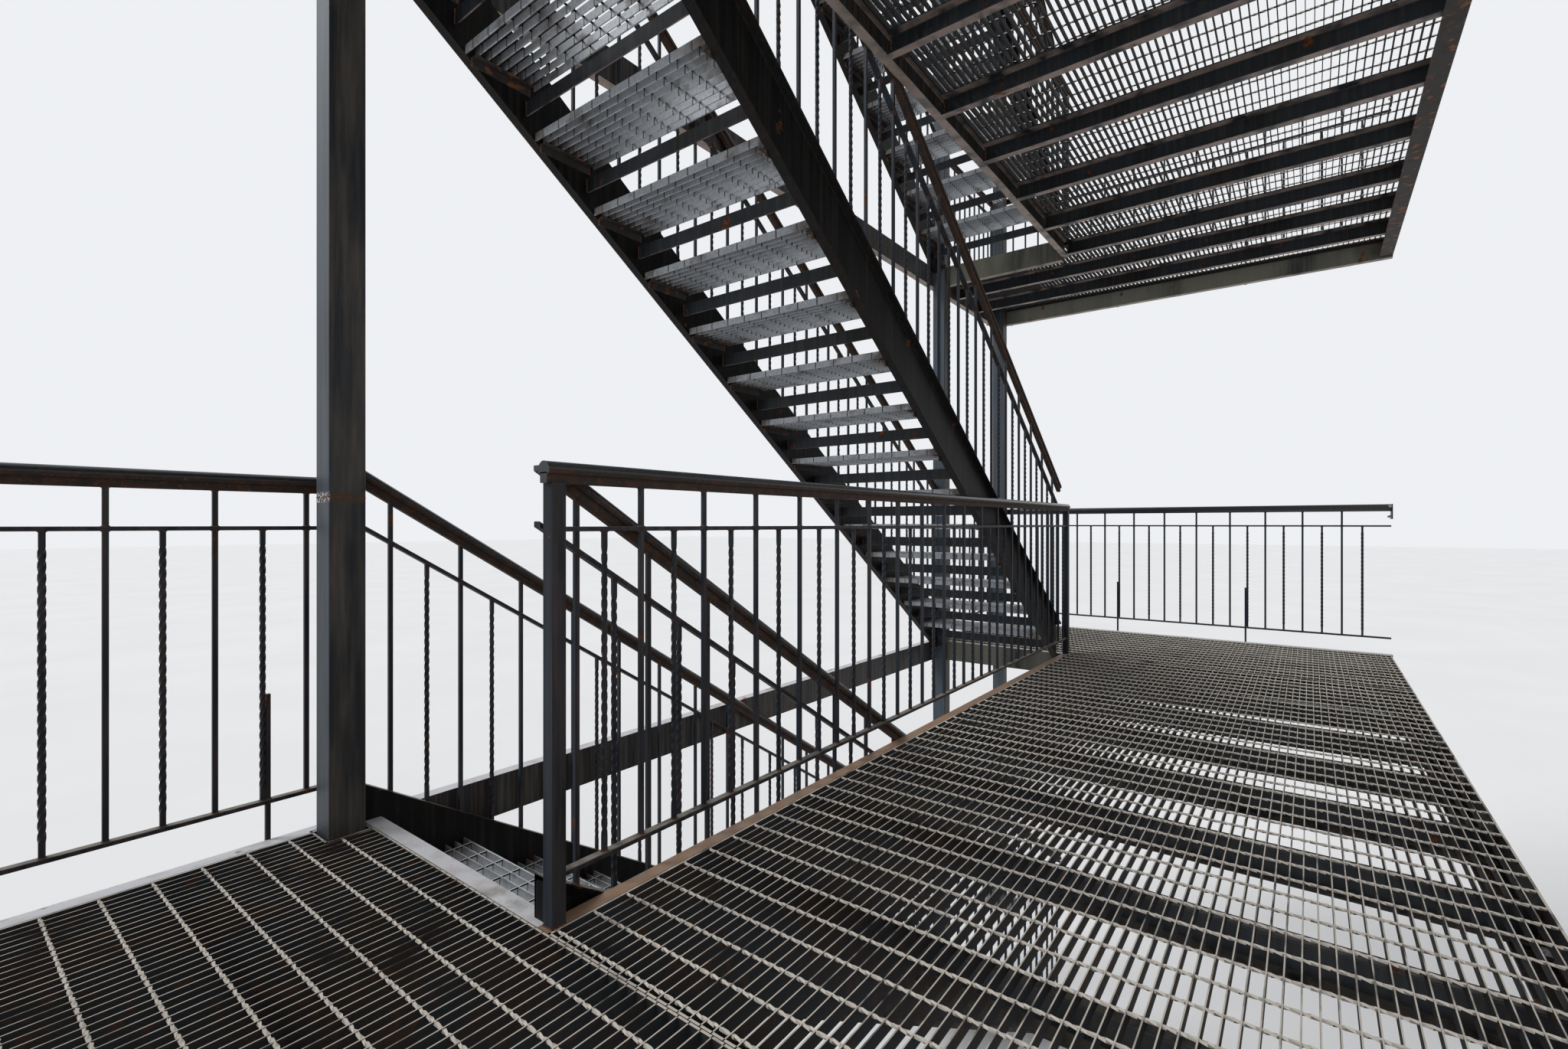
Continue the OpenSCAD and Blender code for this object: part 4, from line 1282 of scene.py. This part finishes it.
def make_riser_bars(flight):
    """Flat bars in the risers, with eased edges and a weld at each end."""
    work = Steelwork()
    low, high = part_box(f"flight_{flight}_riser_bars")
    thick = high.x - low.x - (RISERS - 2) * RUN
    depth = high.z - low.z - (RISERS - 2) * riser(flight)
    sink = joins().sink
    bar = along_y(eased(thick, depth, rolled().riser_ease, 1), thick / 2, low.y, high.y, depth / 2)
    places = [(low.x + k * RUN, 0, low.z + k * riser(flight)) for k in range(RISERS - 1)]
    work.add(bar, 0, places)
    for y in (low.y + sink, high.y - sink):
        for x in (0.0, thick):
            work.add(bead((x, y, sink), (x, y, depth - sink), joins().fine_bead), 1, places)
    work.make(f"flight_{flight}_welded_riser_bars", ["joist_oil_paint", "rusty_weld_metal"], "framing",
              [f"flight_{flight}_riser_bars"])


def make_rails(flight):
    """Sloping guards over both stringers, with upright balusters and upright rail ends."""
    sizes, work = guards(), Steelwork()
    tilt = math.hypot(1, slope(flight))
    lean = Matrix.Identity(4)
    lean[2][0] = slope(flight)
    # The inner cap is sawn off level, just under the crown of the platform's own cap rail
    crown = FLOOR_Z[flight] - nosing_z(flight, FOOT_EDGE) + RAIL_HEIGHT - sizes.crown_drop
    level_cut = [((0, 0, crown), (slope(flight), 0, 1))]
    inner_height = RAIL_HEIGHT + sizes.inner_over
    lines = ((OUTER_RAIL_Y, OUTER_FOOT_X, -HALF_POST, sizes.outer_first, RAIL_HEIGHT, []),
             (INNER_RAIL_Y, FOOT_EDGE, INNER_RAIL_HEAD_X, sizes.inner_first, inner_height, level_cut))
    for y, x0, x1, first, height, cuts in lines:
        length = x1 - x0
        last = math.floor((length - first - sizes.baluster) / sizes.pitch)
        stations = [(length - first - k * sizes.pitch, k % 2 == 0) for k in range(last + 1)]
        one = guard(length, stations, height, rolled().stringer_rise, tilt, cuts=cuts)
        work.take(one, at(x0, y, nosing_z(flight, x0)) @ lean)
    work.make(f"flight_{flight}_forged_rails", GUARD_FINISHES, "guard_rails", [f"flight_{flight}_rails"])


# Stage

CAMERA_PLACE = (0.870, 2.396, 3.670)
CAMERA_WAY = (-0.7953, -0.6062, 0.0)
LENS_MM = 15.82
SENSOR_MM = 36.0
CLIP = (0.02, 500.0)
FLOOR_REACH = 150.0
SKY_STRENGTH = 0.62
KEY_STRENGTH = 1.7
KEY_SPREAD = 25.0
KEY_WAY = (0.55, -0.60, 0.75)


def make_stage():
    """Pale floor, soft light and the camera."""
    shades = colours()
    scene = bpy.context.scene
    mesh = bpy.data.meshes.new("studio_floor")
    corners = [(x * FLOOR_REACH, y * FLOOR_REACH, 0) for x, y in ((-1, -1), (1, -1), (1, 1), (-1, 1))]
    mesh.from_pydata(corners, [], [[0, 1, 2, 3]])
    floor = bpy.data.objects.new("studio_floor", mesh)
    scene.collection.objects.link(floor)
    ground = Finish("matt_studio_floor")
    clouds = ground.patches(3.0, 0.3, 0.7, 0.06)
    colour = ground.coats(shades.ground, (clouds, shades.dust))
    ground.finish(colour, ground.add("MapRange", (clouds, 0.0, 1.0, 0.9, 0.95)))
    mesh.materials.append(ground.material)

    world = bpy.data.worlds.new("soft_studio_sky")
    world.use_nodes = True
    tree = world.node_tree
    tree.nodes.clear()
    path = add_node(tree, "LightPath").outputs
    seen = add_node(tree, "Math", (path["Is Camera Ray"], path["Is Glossy Ray"]), operation="ADD").outputs[0]
    seen = add_node(tree, "Math", (seen, path["Is Transmission Ray"]), operation="ADD", use_clamp=True)
    light = add_node(tree, "Background", {"Color": (1, 1, 1, 1), "Strength": SKY_STRENGTH})
    view = add_node(tree, "Background", {"Color": tuple(shades.surround), "Strength": 1.0})
    mix = add_node(tree, "MixShader", (seen.outputs[0], light.outputs[0], view.outputs[0]))
    add_node(tree, "OutputWorld", {"Surface": mix.outputs[0]})
    scene.world = world

    lamp = bpy.data.lights.new("soft_key", "SUN")
    lamp.energy = KEY_STRENGTH
    lamp.angle = math.radians(KEY_SPREAD)
    key = bpy.data.objects.new("soft_key", lamp)
    key.rotation_euler = Vector(KEY_WAY).to_track_quat("Z", "Y").to_euler()
    scene.collection.objects.link(key)

    lens = bpy.data.cameras.new("photo_camera")
    lens.lens, lens.sensor_width, lens.sensor_fit = LENS_MM, SENSOR_MM, "HORIZONTAL"
    lens.clip_start, lens.clip_end = CLIP
    camera = bpy.data.objects.new("photo_camera", lens)
    camera.location = CAMERA_PLACE
    camera.rotation_euler = Vector(CAMERA_WAY).to_track_quat("-Z", "Y").to_euler()
    scene.collection.objects.link(camera)
    scene.camera = camera
    scene.view_settings.view_transform = "Standard"


class FIRE_ESCAPE_OT_posts(bpy.types.Operator):
    """Finish the posts and weld them"""

    bl_idname = "fire_escape.posts"
    bl_label = "Posts"

    def execute(self, context):
        make_posts()
        return {"FINISHED"}


class FIRE_ESCAPE_OT_base_anchors(bpy.types.Operator):
    """Bolt the base plates down"""

    bl_idname = "fire_escape.base_anchors"
    bl_label = "Base anchors"

    def execute(self, context):
        make_base_anchors()
        return {"FINISHED"}


class FIRE_ESCAPE_OT_beams(bpy.types.Operator):
    """Roll the beams, headers and joists of the platforms"""

    bl_idname = "fire_escape.beams"
    bl_label = "Beams and joists"

    def execute(self, context):
        for level in LEVELS:
            make_long_beams(level)
            make_cross_beams(level)
            make_joists(level)
        return {"FINISHED"}


class FIRE_ESCAPE_OT_floors(bpy.types.Operator):
    """Lay the floor gratings"""

    bl_idname = "fire_escape.floors"
    bl_label = "Floor gratings"

    def execute(self, context):
        for level in LEVELS:
            make_floor_gratings(level)
        return {"FINISHED"}


class FIRE_ESCAPE_OT_guards(bpy.types.Operator):
    """Forge the level guards"""

    bl_idname = "fire_escape.guards"
    bl_label = "Level guards"

    def execute(self, context):
        for level in LEVELS:
            make_outer_guards(level)
            make_end_guards(level)
            make_well_guard(level)
        make_foot_guard(LEVELS[-1])
        return {"FINISHED"}


class FIRE_ESCAPE_OT_flights(bpy.types.Operator):
    """Make the stringers, treads and riser bars of the flights"""

    bl_idname = "fire_escape.flights"
    bl_label = "Flights"

    def execute(self, context):
        for flight in FLIGHTS:
            make_stringers(flight)
            make_treads(flight)
            make_riser_bars(flight)
        return {"FINISHED"}


class FIRE_ESCAPE_OT_rails(bpy.types.Operator):
    """Forge the sloping rails of the flights"""

    bl_idname = "fire_escape.rails"
    bl_label = "Sloping rails"

    def execute(self, context):
        for flight in FLIGHTS:
            make_rails(flight)
        return {"FINISHED"}


class FIRE_ESCAPE_OT_stage(bpy.types.Operator):
    """Set the floor, the light and the camera"""

    bl_idname = "fire_escape.stage"
    bl_label = "Stage"

    def execute(self, context):
        make_stage()
        return {"FINISHED"}


OPERATORS = (
    FIRE_ESCAPE_OT_posts, FIRE_ESCAPE_OT_base_anchors, FIRE_ESCAPE_OT_beams, FIRE_ESCAPE_OT_floors,
    FIRE_ESCAPE_OT_guards, FIRE_ESCAPE_OT_flights, FIRE_ESCAPE_OT_rails, FIRE_ESCAPE_OT_stage)


class FIRE_ESCAPE_PT_panel(bpy.types.Panel):
    """Lists the pieces, sizes and colours"""

    bl_idname = "FIRE_ESCAPE_PT_panel"
    bl_label = "Fire escape"
    bl_space_type = "VIEW_3D"
    bl_region_type = "UI"
    bl_category = "Fire escape"

    def draw(self, context):
        for operator in OPERATORS:
            self.layout.operator(operator.bl_idname)
        for group in (rolled(), lattice(), guards(), joins(), colours()):
            box = self.layout.box()
            for key in group.bl_rna.properties.keys():
                if key not in ("rna_type", "name"):
                    box.prop(group, key)


GROUPS = {
    "fire_escape_rolled": RolledSizes,
    "fire_escape_lattice": LatticeSizes,
    "fire_escape_guards": GuardSizes,
    "fire_escape_joins": JoinSizes,
    "fire_escape_colours": FinishColours,
}
CLASSES = tuple(GROUPS.values()) + OPERATORS + (FIRE_ESCAPE_PT_panel,)


def register():
    for each in CLASSES:
        bpy.utils.register_class(each)
    for name, group in GROUPS.items():
        setattr(bpy.types.Scene, name, bpy.props.PointerProperty(type=group))


def unregister():
    for name in GROUPS:
        delattr(bpy.types.Scene, name)
    for each in reversed(CLASSES):
        bpy.utils.unregister_class(each)


def main():
    """Makes every piece in order."""
    register()
    for name in ("posts", "base_anchors", "beams", "floors", "guards", "flights", "rails", "stage"):
        getattr(bpy.ops.fire_escape, name)()
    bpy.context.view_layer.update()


if __name__ == "__main__":
    main()
